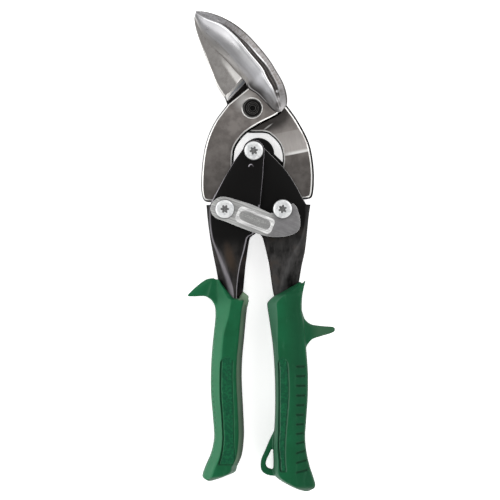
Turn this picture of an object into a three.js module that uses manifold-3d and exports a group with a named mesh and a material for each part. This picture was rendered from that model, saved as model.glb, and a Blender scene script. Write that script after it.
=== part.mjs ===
// Compound-action aviation snips, millimetres, lying on their back: +Y points to the jaw tip, +Z to the front.
import * as THREE from 'three';
import { mergeVertices } from 'three/addons/utils/BufferGeometryUtils.js';
import Module from 'manifold-3d';

const wasm = await Module();
wasm.setup();

// ---- Driving dimensions ----------------------------------------------------------------------------------

// Axes of the four pivots, seen from the front.
const BLADE_PIVOT = [0.4, 0];
const CENTRE_PIVOT = [0.9, -20.9];
const LEFT_PIVOT = [-13.2, -49.5];
const RIGHT_PIVOT = [15, -49.5];

// Layers from front to back. The two levers interleave at the centre bolt.
const SHEET = 2.5;
const CHANNEL_GAP = 5.2;
const LAYER_PLAY = 0.05;
const BLADE_PLATE = 4.95;
const FRONT_BLADE_LOW = LAYER_PLAY;
const FRONT_BLADE_HIGH = FRONT_BLADE_LOW + BLADE_PLATE;
const BACK_BLADE_HIGH = -LAYER_PLAY;
const BACK_BLADE_LOW = BACK_BLADE_HIGH - BLADE_PLATE;
const LEFT_INNER_FRONT = FRONT_BLADE_HIGH + 2 * LAYER_PLAY;
const LEFT_INNER_BACK = LEFT_INNER_FRONT - CHANNEL_GAP;
const RIGHT_DEEPER = SHEET + LAYER_PLAY;
const JOGGLE = 2.5;
const SHEAR_PLANE = 5.02;
const SHEAR_PLAY = 0.07;

// Fasteners.
const HEAD_RADIUS = 4.8;
const HEAD_HEIGHT = 2.3;
const SHAFT_RADIUS = 2.4;
const SHOULDER_RADIUS = 2.9;
const HOLE_PLAY = 0.09;
const LOOSE_PLAY = 0.55;
const SEAT = 0.06;
const NUT_RADIUS = 4.7;
const NUT_HEIGHT = 3.2;
const WASHER_RADIUS = 4.6;
const WASHER_HEIGHT = 0.6;
const BLADE_HEAD_RADIUS = 4.5;
const BLADE_SHAFT_RADIUS = 3.2;
const BLADE_HEAD_DEPTH = 2.6;
const BLADE_WASHER_RADIUS = 5.4;
const BLADE_NUT_HEIGHT = 2.9;

// Latch.
const LATCH_THICKNESS = 1.9;
const LATCH_RIM = 0.45;
const LATCH_SLOT_SLANT = 27;

// Spring.
const WIRE = 0.7;
const WIRE_GAP = 0.4;
const COIL_RADIUS = 4.2;
const COIL_TURNS = 1.5;
const BUSH_RADIUS = 3.4;

// Grips.
const GRIP_BACK = -9;
const GRIP_FRONT = 11;
const GRIP_ROUND = 3.2;
const GUARD_BACK = -6;
const GUARD_FRONT = 8;
const TANG_TOP = -94;
const TANG_BEND = -104;
const TANG_LOW_BEND = -130;
const TANG_END = -152;
const TANG_PLAY = 0.3;
const PANEL_DEPTH = 0.6;
const RIB_COUNT = 12;
const RIB_TOP = -126.4;
const RIB_LOW = -178.4;
const RIB_WIDTH = 1.1;
const RIB_DEPTH = 0.7;
const RIB_REACH = 5.6;
const RIB_STOP = 1.5;

// Reach of a cutter well past what it cuts.
const PAST = 20;
const FAR = 80;

const ROUND_SIDES = 32;
const CURVE_STEPS = 3;

// ---- Shape helpers ---------------------------------------------------------------------------------------

/** Closed solid that can be joined and cut, always facing outwards. */
function solid(geometry) {
  geometry.deleteAttribute('normal');
  geometry.deleteAttribute('uv');
  const merged = mergeVertices(geometry, 1e-4);
  const vertProperties = new Float32Array(merged.attributes.position.array);
  const triVerts = new Uint32Array(merged.index.array);
  const made = new wasm.Manifold(new wasm.Mesh({ numProp: 3, vertProperties, triVerts }));
  if (made.volume() >= 0) return made;
  const turned = triVerts.slice();
  for (let k = 0; k < turned.length; k += 3) {
    turned[k + 1] = triVerts[k + 2];
    turned[k + 2] = triVerts[k + 1];
  }
  return new wasm.Manifold(new wasm.Mesh({ numProp: 3, vertProperties, triVerts: turned }));
}

/** Plane points from pairs of numbers. */
function corners(pairs) {
  return pairs.map(([x, y]) => new THREE.Vector2(x, y));
}

/** Outline points: a run of three or more points is a smooth curve, shorter runs are straight. */
function trace(...runs) {
  const points = [];
  for (const run of runs) {
    const spots = corners(run);
    const curve = new THREE.SplineCurve(spots);
    const smooth = spots.length > 2;
    points.push(...(smooth ? curve.getPoints((spots.length - 1) * CURVE_STEPS) : spots));
  }
  return points;
}

/** Points of an arc round a centre, angles in degrees. */
function arc(centre, radius, from, to, steps) {
  const points = [];
  for (let k = 0; k <= steps; k += 1) {
    const angle = THREE.MathUtils.degToRad(from + ((to - from) * k) / steps);
    points.push([centre[0] + radius * Math.cos(angle), centre[1] + radius * Math.sin(angle)]);
  }
  return points;
}

/** Plate of an outline between two heights, with its edges broken. */
function plate(points, low, high, bevel = 0) {
  const shape = new THREE.Shape(points);
  const geometry = new THREE.ExtrudeGeometry(shape, {
    depth: high - low - 2 * bevel,
    bevelEnabled: bevel > 0,
    bevelThickness: bevel,
    bevelSize: bevel,
    bevelOffset: -bevel,
    bevelSegments: 1,
  });
  geometry.translate(0, 0, low + bevel);
  return solid(geometry);
}

/** Solid turned round a vertical axis from a profile of radius and height. */
function turned(centre, profile, sides = ROUND_SIDES) {
  const points = profile.map(([radius, height]) => new THREE.Vector2(radius, height));
  const geometry = new THREE.LatheGeometry(points, sides);
  geometry.rotateX(Math.PI / 2);
  geometry.translate(centre[0], centre[1], 0);
  return solid(geometry);
}

/** Round rod between two heights. */
function rod(centre, radius, low, high, sides = ROUND_SIDES) {
  return turned(centre, [[0, low], [radius, low], [radius, high], [0, high]], sides);
}

/** Solid through rings of equal count; each ring holds [across, height] pairs and puts them in space. */
function loft(rings) {
  const count = rings[0].flat.length;
  const place = (ring) => ring.flat.flatMap(([across, height]) => ring.place(across, height));
  const position = rings.flatMap(place);
  const index = [];
  for (let r = 0; r + 1 < rings.length; r += 1) {
    for (let k = 0; k < count; k += 1) {
      const a = r * count + k;
      const b = r * count + ((k + 1) % count);
      index.push(a, b, b + count, a, b + count, a + count);
    }
  }
  const uneven = (k) => 1e-3 * Math.sin(2.4 * k);
  const cap = (ring, start, withOutline) => {
    const contour = ring.flat.map(([u, v], k) => new THREE.Vector2(u + uneven(k), v + uneven(k + 1)));
    const same = (THREE.ShapeUtils.area(contour) > 0) === withOutline;
    for (const [a, b, c] of THREE.ShapeUtils.triangulateShape(contour, [])) {
      index.push(start + a, start + (same ? b : c), start + (same ? c : b));
    }
  };
  cap(rings[0], 0, false);
  cap(rings[rings.length - 1], (rings.length - 1) * count, true);
  const geometry = new THREE.BufferGeometry();
  geometry.setAttribute('position', new THREE.BufferAttribute(new Float32Array(position), 3));
  geometry.setIndex(index);
  return solid(geometry);
}

/** Smooth function x(y) through points listed from top to bottom. */
function edge(points) {
  return (y) => {
    let k = 0;
    while (k < points.length - 2 && y < points[k + 1][1]) k += 1;
    const at = (i) => points[THREE.MathUtils.clamp(i, 0, points.length - 1)];
    const slope = (i) => (at(i + 1)[0] - at(i - 1)[0]) / (at(i + 1)[1] - at(i - 1)[1]);
    const span = at(k + 1)[1] - at(k)[1];
    const t = THREE.MathUtils.clamp((y - at(k)[1]) / span, 0, 1);
    const [x0, x1] = [at(k)[0], at(k + 1)[0]];
    const [m0, m1] = [slope(k) * span, slope(k + 1) * span];
    const rise = t * t * (3 - 2 * t);
    return x0 + (x1 - x0) * rise + m0 * t * (1 - t) ** 2 - m1 * t * t * (1 - t);
  };
}

/** Values from one number to another, both included. */
function steps(from, to, count) {
  return Array.from({ length: count + 1 }, (_, k) => from + ((to - from) * k) / count);
}

const mix = (a, b, t) => a + (b - a) * t;
const ease = THREE.MathUtils.smoothstep;

// ---- Front blade -----------------------------------------------------------------------------------------

const JAW_INNER = new THREE.SplineCurve([
  [-28.1, 44.4], [-25.2, 38.2], [-21.5, 32.6], [-17, 28], [-12.4, 23.1], [-8.2, 18.2], [-3.2, 12.9],
  [-1.9, 9.7], [2.5, 6.8], [6.5, 2.9], [10, -0.8], [12.8, -2.1],
].map(([x, y]) => new THREE.Vector2(x, y)));
const JAW_OUTER = new THREE.SplineCurve([
  [-27.3, 47.5], [-22, 47], [-15, 44.7], [-8.3, 41], [-2.4, 36.2], [3, 30.5], [8.2, 24.1],
  [12, 18.1], [15.4, 12], [17.1, 6.4], [17.1, 1.7], [14.6, -1.7],
].map(([x, y]) => new THREE.Vector2(x, y)));
const JAW_SPANS = 11;
const CUT_SPANS = 6;

/** Heights of the domed jaw at a place along it, 0 at the tip and 1 at the pivot end. */
function jawHeights(u) {
  const crest = 7.2 + 5.6 * ease(u, 0, 0.4) - 4.6 * ease(u, 0.72, 1);
  const edgeHigh = SHEAR_PLANE + 0.55 + 2.2 * ease(u, 0.52, 0.68);
  const edgeLow = mix(SHEAR_PLANE, 3, ease(u, 0.56, 0.64));
  const belly = mix(SHEAR_PLANE, 1.2, ease(u, 0.04, 0.5));
  const dip = 1.3 * ease(u, 0.12, 0.3) * (1 - ease(u, 0.84, 0.98));
  return { crest, edgeHigh, edgeLow, belly, dip };
}

/** One section of the domed jaw: shear face, rise to the crest, groove, second ridge and ground rim. */
function jawRing(u) {
  const inner = JAW_INNER.getPoint(u);
  const outer = JAW_OUTER.getPoint(u);
  const { crest, edgeHigh, edgeLow, belly, dip } = jawHeights(u);
  const top = mix(0.72, 0.5, ease(u, 0.1, 0.8));
  const rimHigh = mix(edgeHigh, crest, 0.5) - 0.4;
  const rimLow = mix(SHEAR_PLANE, rimHigh, 0.55);
  const rise = (part) => mix(edgeHigh, crest, part);
  const flat = [
    [0, edgeLow], [0, edgeHigh], [top * 0.3, rise(0.5)], [top * 0.65, rise(0.84)], [top, crest],
    [top + 0.06, crest - dip], [top + 0.13, crest - 0.25 * dip - 0.3], [0.92, rimHigh], [1, rimLow],
    [1, Math.min(belly + 0.6, rimLow - 0.2)], [0.9, belly], [0.46, belly], [0.38, edgeLow],
  ];
  const place = (across, height) => [mix(inner.x, outer.x, across), mix(inner.y, outer.y, across), height];
  return { flat, place };
}

const shankEndLeft = arc(LEFT_PIVOT, 5, 150, 360, 8);
const frontPlate = trace(
  [[-11.7, 2.3], [-15.6, -2.8], [-18, -6.3], [-20.5, -11.7], [-22.4, -18], [-23.4, -24.4], [-23.9, -31.3]],
  [[-23.9, -36.7], [-23.7, -41.1], [-22.9, -44.2], [-21.6, -45.2], [-19.4, -45.3]],
  [[-18.2, -46.2]],
  shankEndLeft,
  [[-8.3, -40], [-9.9, -27], [-10.2, -20.5], [-9.2, -15.6], [-5.8, -11.7], [-0.9, -8.7], [4, -6.8],
    [11.4, -4.3],
    [14.4, -2.1], [16, 1.1], [16.2, 4.5]],
  [[15.2, 8.6], [11.5, 12.6], [6.5, 14.2], [1.6, 13.2]],
  [[-2.2, 10]],
);

/** Hole through everything at an axis. */
function bore(centre, radius) {
  return rod(centre, radius, -PAST, PAST);
}

function makeFrontBlade() {
  const spans = 3 * JAW_SPANS;
  const jaw = loft(steps(0, 1, spans).map(jawRing));
  const chamfer = HOLE_PLAY + 0.55;
  const seatLow = FRONT_BLADE_HIGH - BLADE_HEAD_DEPTH - SEAT;
  const wide = BLADE_HEAD_RADIUS + HOLE_PLAY;
  const seat = turned(BLADE_PIVOT, [
    [0, seatLow], [wide, seatLow], [wide, FRONT_BLADE_HIGH - 0.5], [wide + chamfer, FRONT_BLADE_HIGH + 0.2],
    [wide + chamfer, FRONT_BLADE_HIGH + 4], [0, FRONT_BLADE_HIGH + 4],
  ]);
  return plate(frontPlate, FRONT_BLADE_LOW, FRONT_BLADE_HIGH, 0.6)
    .add(jaw)
    .subtract(seat)
    .subtract(bore(BLADE_PIVOT, BLADE_SHAFT_RADIUS + HOLE_PLAY))
    .subtract(bore(LEFT_PIVOT, SHAFT_RADIUS + HOLE_PLAY));
}

// ---- Back blade ------------------------------------------------------------------------------------------

const OVERLAP = 0.2;
const BACK_LEFT = new THREE.SplineCurve([
  [-28.3, 44.3], [-27.6, 39.6], [-25.6, 33], [-23.2, 26.8], [-20.6, 19.4], [-17.4, 11.4], [-14, 5],
].map(([x, y]) => new THREE.Vector2(x, y)));
const BACK_END = new THREE.SplineCurve([
  [-13.3, 5.2], [-10.9, 7.3], [-8.7, 10.2], [-7.4, 12.6], [-5.9, 14.4], [-4.6, 15.9],
].map(([x, y]) => new THREE.Vector2(x, y)));

/** One section of the raised back jaw: flat shear face in front, rounded back. */
function backJawRing(part) {
  const left = BACK_LEFT.getPoint(part);
  const u = (part * (CUT_SPANS - 0.1)) / JAW_SPANS;
  const inner = JAW_INNER.getPoint(u);
  const outer = JAW_OUTER.getPoint(u);
  const right = inner.lerp(outer, OVERLAP);
  const face = SHEAR_PLANE - SHEAR_PLAY;
  const low = mix(2.6, -7.4, ease(part, 0, 0.55)) + 1.2 * ease(part, 0.75, 1);
  const flat = [
    [0, face - 0.5], [0.05, face], [1, face], [1, face - 1.2], [0.8, mix(face, low, 0.62)],
    [0.6, mix(face, low, 0.92)],
    [0.4, low], [0.18, mix(face, low, 0.82)], [0.03, mix(face, low, 0.48)],
  ];
  const place = (across, height) => [mix(left.x, right.x, across), mix(left.y, right.y, across), height];
  return { flat, place };
}

const backPlate = trace(
  [[-17.8, 12.4], [-15.3, 7.1], [-12.7, 2.9], [-11.2, -1.6], [-9.2, -6.2], [-5.6, -9.7], [-1.9, -11.2],
    [6.5, -11.4], [9.9, -13.1], [13.3, -16.6], [15.3, -20.5], [15.8, -24.4], [15.3, -28.5], [13.3, -36],
    [11, -43],
    [10, -49.5]],
  arc(RIGHT_PIVOT, 5, 195, 390, 8),
  [[20.6, -45.6]],
  [[23.6, -44.9], [27.3, -44.5], [29.3, -43.7], [30.1, -41.4], [30.5, -37.6]],
  [[30.6, -32.7], [30.2, -27.3], [29.3, -21.5], [28, -16.6], [26.1, -12.2], [23.6, -7.7], [21.2, -3.8],
    [18.7, -0.4],
    [17, 2], [14.4, 7], [10.4, 11.6], [4.6, 15.6], [-1, 18.4], [-8, 20.6], [-14, 19.6]],
);
const RAMP_TOP = -10.8;
const RAMP_LOW = -22.4;
const RAMP_MIDDLE = 20;
const RAMP_SLANT = 0.2;

/** Outline's strip with a joggle between two slanted creases. */
function joggledStrip(outline) {
  const [low, high] = [BACK_BLADE_LOW, BACK_BLADE_HIGH];
  const flat = [
    [FAR, low], [FAR, high], [RAMP_TOP, high], [RAMP_LOW, high + JOGGLE],
    [-FAR, high + JOGGLE], [-FAR, low + JOGGLE], [RAMP_LOW, low + JOGGLE], [RAMP_TOP, low],
  ];
  const crease = (x, y) => (Math.abs(y) === FAR ? y : y + (x - RAMP_MIDDLE) * RAMP_SLANT);
  const rings = [-FAR, FAR].map((x) => ({ flat, place: (y, height) => [x, crease(x, y), height] }));
  return loft(rings).intersect(plate(outline, -PAST, PAST));
}

function makeBackBlade() {
  const behindEnd = [...BACK_END.getPoints(12), ...corners([[6, 26], [40, 0], [0, -20], [-20, -4],
    [-15.5, 3.3]])];
  const raised = loft(steps(0, 1, 18).map(backJawRing)).subtract(plate(behindEnd, BACK_BLADE_HIGH, PAST));
  return joggledStrip(backPlate)
    .add(raised)
    .subtract(bore(BLADE_PIVOT, BLADE_SHAFT_RADIUS + HOLE_PLAY))
    .subtract(rod(BLADE_PIVOT, BLADE_WASHER_RADIUS + 1, -PAST, BACK_BLADE_LOW))
    .subtract(bore(RIGHT_PIVOT, SHAFT_RADIUS + LOOSE_PLAY));
}

// ---- Levers ----------------------------------------------------------------------------------------------

const LEFT_LEVER = {
  side: -1,
  deeper: 0,
  wallTop: -47.4,
  outer: edge([[-22.3, -47.4], [-21.5, -55.8], [-20.5, -63.1], [-19, -71.4], [-17.4, -79.3], [-16.3, -86],
    [-15.8, -92],
    [-15.4, TANG_BEND], [-15.4, TANG_LOW_BEND], [-14.6, TANG_END]]),
  fold: edge([[-20.5, -47.4], [-20.2, -57.2], [-19, -64.6], [-16.1, -71.9], [-12.6, -80.3], [-9.9, -87.6],
    [-9.2, -94],
    [-9.4, TANG_BEND], [-10.4, TANG_LOW_BEND], [-10.6, TANG_END]]),
  frontEdge: edge([[4.1, -47.4], [2.2, -57], [0.7, -61.6], [-1.7, -62.9], [-2.8, -66.1], [-3.6, -69.5],
    [-5.3, -75.4],
    [-6.3, -80.3], [-7.1, -86.6], [-7.4, TANG_TOP], [-7.6, TANG_BEND], [-8.2, TANG_LOW_BEND],
    [-8.6, TANG_END]]),
  backEdge: edge([[5.2, -47.4], [3.4, -57], [1.9, -61.4], [-0.6, -63.2], [-1.6, -67], [-2.4, -72.4],
    [-3.1, -77.3],
    [-3.5, -81.7], [-4.2, -89.1], [-5, TANG_TOP], [-6, TANG_BEND], [-7.4, TANG_LOW_BEND], [-8.2, TANG_END]]),
};

const RIGHT_LEVER = {
  side: 1,
  deeper: RIGHT_DEEPER,
  wallTop: -47.2,
  outer: edge([[28.8, -47.2], [28, -52.3], [27, -62.1], [26, -70.5], [24.6, -76.8], [23.5, -83.2], [22.6, -90],
    [22, TANG_BEND], [22.4, TANG_LOW_BEND], [22, TANG_END]]),
  fold: edge([[26.8, -47.2], [26, -57.2], [23.8, -65], [19.6, -72.4], [16.4, -80.3], [14.2, -87.6], [14, -94],
    [14.6, TANG_BEND], [16, TANG_LOW_BEND], [16.4, TANG_END]]),
  frontEdge: edge([[-2.3, -47.2], [0.4, -55.5], [3.4, -59.6], [5.4, -62], [6.4, -66], [7.4, -70.4],
    [8.7, -76.8],
    [9.7, -84.2], [10.7, -90], [11.4, TANG_TOP], [12.2, TANG_BEND], [13.8, TANG_LOW_BEND], [14.4, TANG_END]]),
  backEdge: edge([[-3.2, -47.2], [-0.8, -55.5], [2.6, -60.4], [5, -63], [6, -66], [7.1, -70.4], [8.5, -76.8],
    [9.5, -84.2], [10.4, -90], [11.2, TANG_TOP], [12, TANG_BEND], [13.6, TANG_LOW_BEND], [14.2, TANG_END]]),
};

/** Ring of a lever's channel at a height; grow widens the outside and fill leaves out the hollow. */
function channelRing(lever, y, grow = 0, fill = false) {
  const { side, deeper } = lever;
  const front = LEFT_INNER_FRONT + SHEET - deeper;
  const back = LEFT_INNER_BACK - SHEET - deeper;
  const wall = lever.outer(y);
  const fold = lever.fold(y);
  const open = lever.frontEdge(y);
  const openBack = lever.backEdge(y);
  const slope = front - 1.2 - 0.5 * Math.abs(fold - wall);
  const g = side * grow;
  const outside = [
    [open - g, front + grow], [fold, front + grow], [wall + g, slope], [wall + g, back + 1.2],
    [wall - 1.2 * side, back - grow], [openBack - g, back - grow],
  ];
  const inside = [
    [openBack, back + SHEET], [wall - 3 * side, back + SHEET], [wall - SHEET * side, back + SHEET + 0.5],
    [wall - SHEET * side, slope - 1], [fold - 0.9 * side, front - SHEET], [open, front - SHEET],
  ];
  const lips = [[openBack - g, back + SHEET + grow], [open - g, front - SHEET - grow]];
  const place = (across, height) => [across, y, height];
  return { flat: [...outside, ...(fill ? lips : inside)], place };
}

/** Neck and tang of a lever; grow and fill make the space that a grip leaves for it. */
function channel(lever, grow = 0, fill = false) {
  const heights = [...steps(lever.wallTop, TANG_TOP, 14), ...steps(TANG_TOP, TANG_END, 6).slice(1)];
  const rows = heights.map((y) => channelRing(lever, y, grow, fill));
  const end = channelRing(lever, TANG_END, grow, fill);
  const beyond = { flat: end.flat, place: (across, height) => [across, TANG_END - grow, height] };
  return loft(grow > 0 ? [...rows, beyond] : rows);
}

const leftFrontOutline = trace(
  arc(CENTRE_PIVOT, 5.3, 0, 170, 12),
  [[-8.2, -25.4], [-13.1, -33.7], [-17.4, -41.4], [-20.5, -47.3]],
  [[-20.3, -52]],
  [[3.3, -52]],
  [[4.1, -47.4], [4.5, -42.5], [5.2, -35.2], [5.7, -27.8]],
);
const leftBackOutline = trace(
  arc(CENTRE_PIVOT, 5.3, 0, 165, 12),
  [[-8.4, -26.4], [-13, -34.4], [-17, -41.8], [-20.3, -47.4]],
  [[-20.1, -52]],
  [[4.3, -52]],
  [[5.2, -47.4], [5.6, -42.5], [6.2, -35.2], [6.6, -27.8]],
);
const rightFrontOutline = trace(
  arc(CENTRE_PIVOT, 5.3, 15, 180, 12),
  [[-3.9, -27.8], [-3.4, -35.2], [-2.8, -42.5], [-2.3, -47.2]],
  [[-1.1, -52]],
  [[26.4, -52]],
  [[26.8, -47.2], [24.6, -43.6], [22.1, -38.9], [18.7, -33.3], [15.3, -28.9], [11.4, -24.8]],
);
const rightBackOutline = trace(
  arc([3.2, -22.3], 7.6, 0, 150, 12),
  [[-4.8, -21.8], [-5, -27.8], [-4.4, -35.2], [-3.7, -42.5], [-3.2, -47.2]],
  [[-2.1, -52]],
  [[26.2, -52]],
  [[26.6, -47.4], [24.8, -43], [22.3, -37.2], [19.2, -31.4], [16.4, -27.6], [14.3, -25.4], [12, -23.2]],
);

function makeLever(lever, frontOutline, backOutline, outerPivot) {
  const front = LEFT_INNER_FRONT - lever.deeper;
  const back = LEFT_INNER_BACK - lever.deeper;
  return channel(lever)
    .add(plate(frontOutline, front, front + SHEET, 0.25))
    .add(plate(backOutline, back - SHEET, back, 0.25))
    .subtract(bore(CENTRE_PIVOT, SHAFT_RADIUS + HOLE_PLAY))
    .subtract(bore(outerPivot, SHAFT_RADIUS + HOLE_PLAY));
}

// ---- Fasteners -------------------------------------------------------------------------------------------

const LEVER_FRONT = LEFT_INNER_FRONT + SHEET;
const LEFT_BACK = LEFT_INNER_BACK - SHEET;
const RIGHT_BACK = LEFT_BACK - RIGHT_DEEPER;
const LATCH_LOW = LEVER_FRONT + WASHER_HEIGHT + 2 * SEAT;
const LATCH_HIGH = LATCH_LOW + LATCH_THICKNESS;
const LATCH_HEAD = LATCH_HIGH + SEAT + 0.05;

const STAR_REACH = 2.1;
const STAR_ROOT = 1.25;
const STAR_DEPTH = 1.2;

/** Bolt with a low round head, a star recess, a shoulder and a plain shaft that ends below its nut. */
function bolt(centre, headLow, shoulderLow, shaftEnd, shoulder = SHOULDER_RADIUS) {
  const top = headLow + HEAD_HEIGHT;
  const body = turned(centre, [
    [0, shaftEnd], [SHAFT_RADIUS - 0.4, shaftEnd], [SHAFT_RADIUS, shaftEnd + 0.4], [SHAFT_RADIUS, shoulderLow],
    [shoulder, shoulderLow], [shoulder, headLow], [HEAD_RADIUS, headLow], [HEAD_RADIUS, top - 0.7],
    [HEAD_RADIUS - 0.25, top - 0.25], [HEAD_RADIUS - 0.8, top], [0, top],
  ]);
  const star = [];
  for (let k = 0; k < 12; k += 1) {
    star.push(arc(centre, k % 2 ? STAR_ROOT : STAR_REACH, k * 30 + 15, 360, 1)[0]);
  }
  return body.subtract(plate(corners(star), top - STAR_DEPTH, top + 1));
}

/** Hexagon nut with broken corners. */
function nut(centre, high, height = NUT_HEIGHT, hole = SHAFT_RADIUS) {
  const low = high - height;
  const corner = NUT_RADIUS + 0.3;
  const body = turned(centre, [[0, low], [corner - 0.8, low], [corner, low + 0.5], [corner, high],
    [0, high]], 6);
  return body.subtract(rod(centre, hole + HOLE_PLAY, low - 1, high + 1));
}

function washer(centre, high, hole = SHAFT_RADIUS, radius = WASHER_RADIUS, height = WASHER_HEIGHT) {
  const disc = rod(centre, radius, high - height, high);
  return disc.subtract(bore(centre, hole + HOLE_PLAY));
}

function makeBladeBolt() {
  const high = FRONT_BLADE_HIGH + 0.15;
  const low = FRONT_BLADE_HIGH - BLADE_HEAD_DEPTH;
  const end = BACK_BLADE_LOW - 3.9;
  const body = turned(BLADE_PIVOT, [
    [0, end], [BLADE_SHAFT_RADIUS - 0.4, end], [BLADE_SHAFT_RADIUS, end + 0.4], [BLADE_SHAFT_RADIUS, low],
    [BLADE_HEAD_RADIUS, low], [BLADE_HEAD_RADIUS, high - 0.4], [BLADE_HEAD_RADIUS - 0.4, high],
    [3.1, high], [2.9, high - 0.3], [2.5, high - 0.3], [2.3, high], [1.5, high], [1.2, high - 0.9],
    [0, high - 0.9],
  ]);
  return body;
}

function makeBush() {
  const low = LEFT_INNER_BACK + SEAT;
  const high = LEFT_INNER_FRONT - RIGHT_DEEPER - SEAT;
  return rod(CENTRE_PIVOT, BUSH_RADIUS, low, high).subtract(bore(CENTRE_PIVOT, SHAFT_RADIUS + HOLE_PLAY));
}

/** Spring wire: left foot, left leg, coil, right leg, right foot, as one unbroken round path. */
function springPath() {
  const high = LEFT_INNER_FRONT - RIGHT_DEEPER - 0.1 - WIRE / 2;
  const low = LEFT_INNER_BACK + 0.1 + WIRE / 2;
  const [cx, cy] = CENTRE_PIVOT;
  const points = [[-9, -32, high], [-8.1, -32, high], [-6.2, -31.7, high], [-4, -30, high],
    [-3.3, -26.5, high]];
  const count = 8 * COIL_TURNS;
  for (let k = 0; k <= count; k += 1) {
    const angle = Math.PI - (2 * Math.PI * COIL_TURNS * k) / count;
    const [x, y] = [COIL_RADIUS * Math.cos(angle), COIL_RADIUS * Math.sin(angle)];
    points.push([cx + x, cy + y, mix(high, low, k / count)]);
  }
  points.push([5.1, -26.5, low], [6.2, -29.8, low], [9, -31.6, low], [12.8, -32, low], [13.7, -32, low]);
  return points.map((spot) => new THREE.Vector3(...spot));
}

/** Least gap between stretches of the wire that lie more than four wires apart along it. */
function leastGap(path) {
  const count = 600;
  const spots = path.getSpacedPoints(count);
  const apart = Math.ceil((4 * WIRE * count) / path.getLength());
  let least = Infinity;
  for (let a = 0; a + apart < count; a += 1) {
    for (let b = a + apart; b <= count; b += 1) least = Math.min(least, spots[a].distanceTo(spots[b]));
  }
  return least - WIRE;
}

function makeSpring() {
  const path = new THREE.CatmullRomCurve3(springPath());
  const gap = leastGap(path);
  console.log(`torsion spring: least gap between turns ${gap.toFixed(2)} mm, wanted over ${WIRE_GAP} mm`);
  const ring = new THREE.Shape(corners(arc([0, 0], WIRE / 2, 0, 288, 4)));
  return solid(new THREE.ExtrudeGeometry(ring, { steps: 40, bevelEnabled: false, extrudePath: path }));
}

// ---- Latch -----------------------------------------------------------------------------------------------

const slotRadius = SHOULDER_RADIUS + 0.35;
const slotTip = 90 - LATCH_SLOT_SLANT;
const latchOutline = trace(
  [[-20.3, -49.5], [-19.4, -46.4], [-16.8, -44.1], [-14.1, -43.5], [-10.7, -44], [-5.8, -45.5], [0.1, -47.4],
    [5, -49.7], [8.9, -51.5]],
  arc(RIGHT_PIVOT, slotRadius, 215, 270 + slotTip, 8),
  [[19.5, -46.9]],
  [[20.4, -46.9], [21.7, -48.4], [22.8, -51.2], [23.5, -54], [23.6, -56.7], [23.1, -59.2], [21.7, -60.9],
    [19.2, -62.1], [15.8, -62.9], [11.9, -63.1], [8.4, -62.9], [5, -62.2], [1.6, -61.2], [-3.3, -59.4],
    [-8.2, -57.5],
    [-13.1, -55.5], [-17.1, -54.1], [-19.4, -52.3]],
);

/** Stadium outline between two centres. */
function stadium(a, b, radius) {
  const lean = THREE.MathUtils.radToDeg(Math.atan2(b[1] - a[1], b[0] - a[0]));
  return corners([...arc(b, radius, lean - 90, lean + 90, 8), ...arc(a, radius, lean + 90, lean + 270, 8)]);
}

const PAD_LEFT = [-4.6, -52.4];
const PAD_RIGHT = [7.6, -57.4];
const PAD_RADIUS = 4.5;
const PANEL_RADIUS = 2.6;
const PANEL_INSET = 0.08;

function makeLatch() {
  const inset = (t) => [mix(PAD_LEFT[0], PAD_RIGHT[0], t), mix(PAD_LEFT[1], PAD_RIGHT[1], t)];
  const rim = plate(stadium(PAD_LEFT, PAD_RIGHT, PAD_RADIUS), LATCH_LOW + 0.5, LATCH_HIGH + LATCH_RIM, 0.4);
  const recess = stadium(inset(PANEL_INSET), inset(1 - PANEL_INSET), PANEL_RADIUS);
  const panel = plate(recess, LATCH_HIGH - 0.1, LATCH_HIGH + 3);
  return plate(latchOutline, LATCH_LOW, LATCH_HIGH, 0.3)
    .add(rim)
    .subtract(panel)
    .subtract(bore(LEFT_PIVOT, SHOULDER_RADIUS + HOLE_PLAY));
}

// ---- Grips -----------------------------------------------------------------------------------------------

const leftGripLeft = edge([[-17.1, -83.9], [-17.4, -90], [-17.9, -98.4], [-17.9, -102.8], [-18.8, -111.1],
  [-19.7, -120.9], [-20.1, -130.7], [-20, -140.5], [-19.2, -150.3], [-18.5, -159.2], [-18.6, -162.6],
  [-20, -169],
  [-22.9, -175.8], [-24, -178.8], [-24.3, -180.2], [-23.8, -181.6], [-22, -182.6]]);
const leftGripRight = edge([[-15.6, -83.9], [-14.6, -85.7], [-12.2, -88.1], [-9.7, -90.3], [-7.3, -91.9],
  [-1.9, -92.6], [-1.6, -94.5], [-2.4, -98.9], [-3.8, -113.6], [-4.7, -123.4], [-4.9, -133.2], [-4.2, -147.9],
  [-3.8, -157.7], [-3.9, -162.6], [-4.9, -170.4], [-7.3, -176.2], [-8.2, -178.7], [-12, -180.4],
  [-15.6, -181.8],
  [-18.6, -182.6]]);
const rightGripLeft = edge([[25.6, -84.2], [24.6, -85.2], [23.3, -85.9], [21.4, -86.8], [18.7, -88],
  [15.3, -89.8],
  [12.4, -91.2], [10.2, -92.6], [7.7, -95.2], [7.5, -96.6], [8.9, -106.2], [10.2, -116], [11, -125.8],
  [11.4, -135.6], [11.4, -147.9], [11, -157.7],
  [10.4, -165], [10.6, -172.4], [11, -179.4], [13.8, -182.2], [18.7, -185], [23.4, -187.2], [26, -187.7]]);
const rightGripRight = edge([[26.2, -84.2], [25, -90.1], [24.5, -94], [24.5, -99.4], [25.2, -103],
  [25.8, -108],
  [26.3, -113], [26.6, -117.5], [27.4, -128.3], [27.5, -135.6], [27.3, -143], [26.6, -152.8], [26.1, -161.1],
  [26.8, -168.5], [28.5, -175.8], [30.5, -181.9], [31.1, -184.4], [30.4, -186.4], [28.3, -187.7]]);

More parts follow.
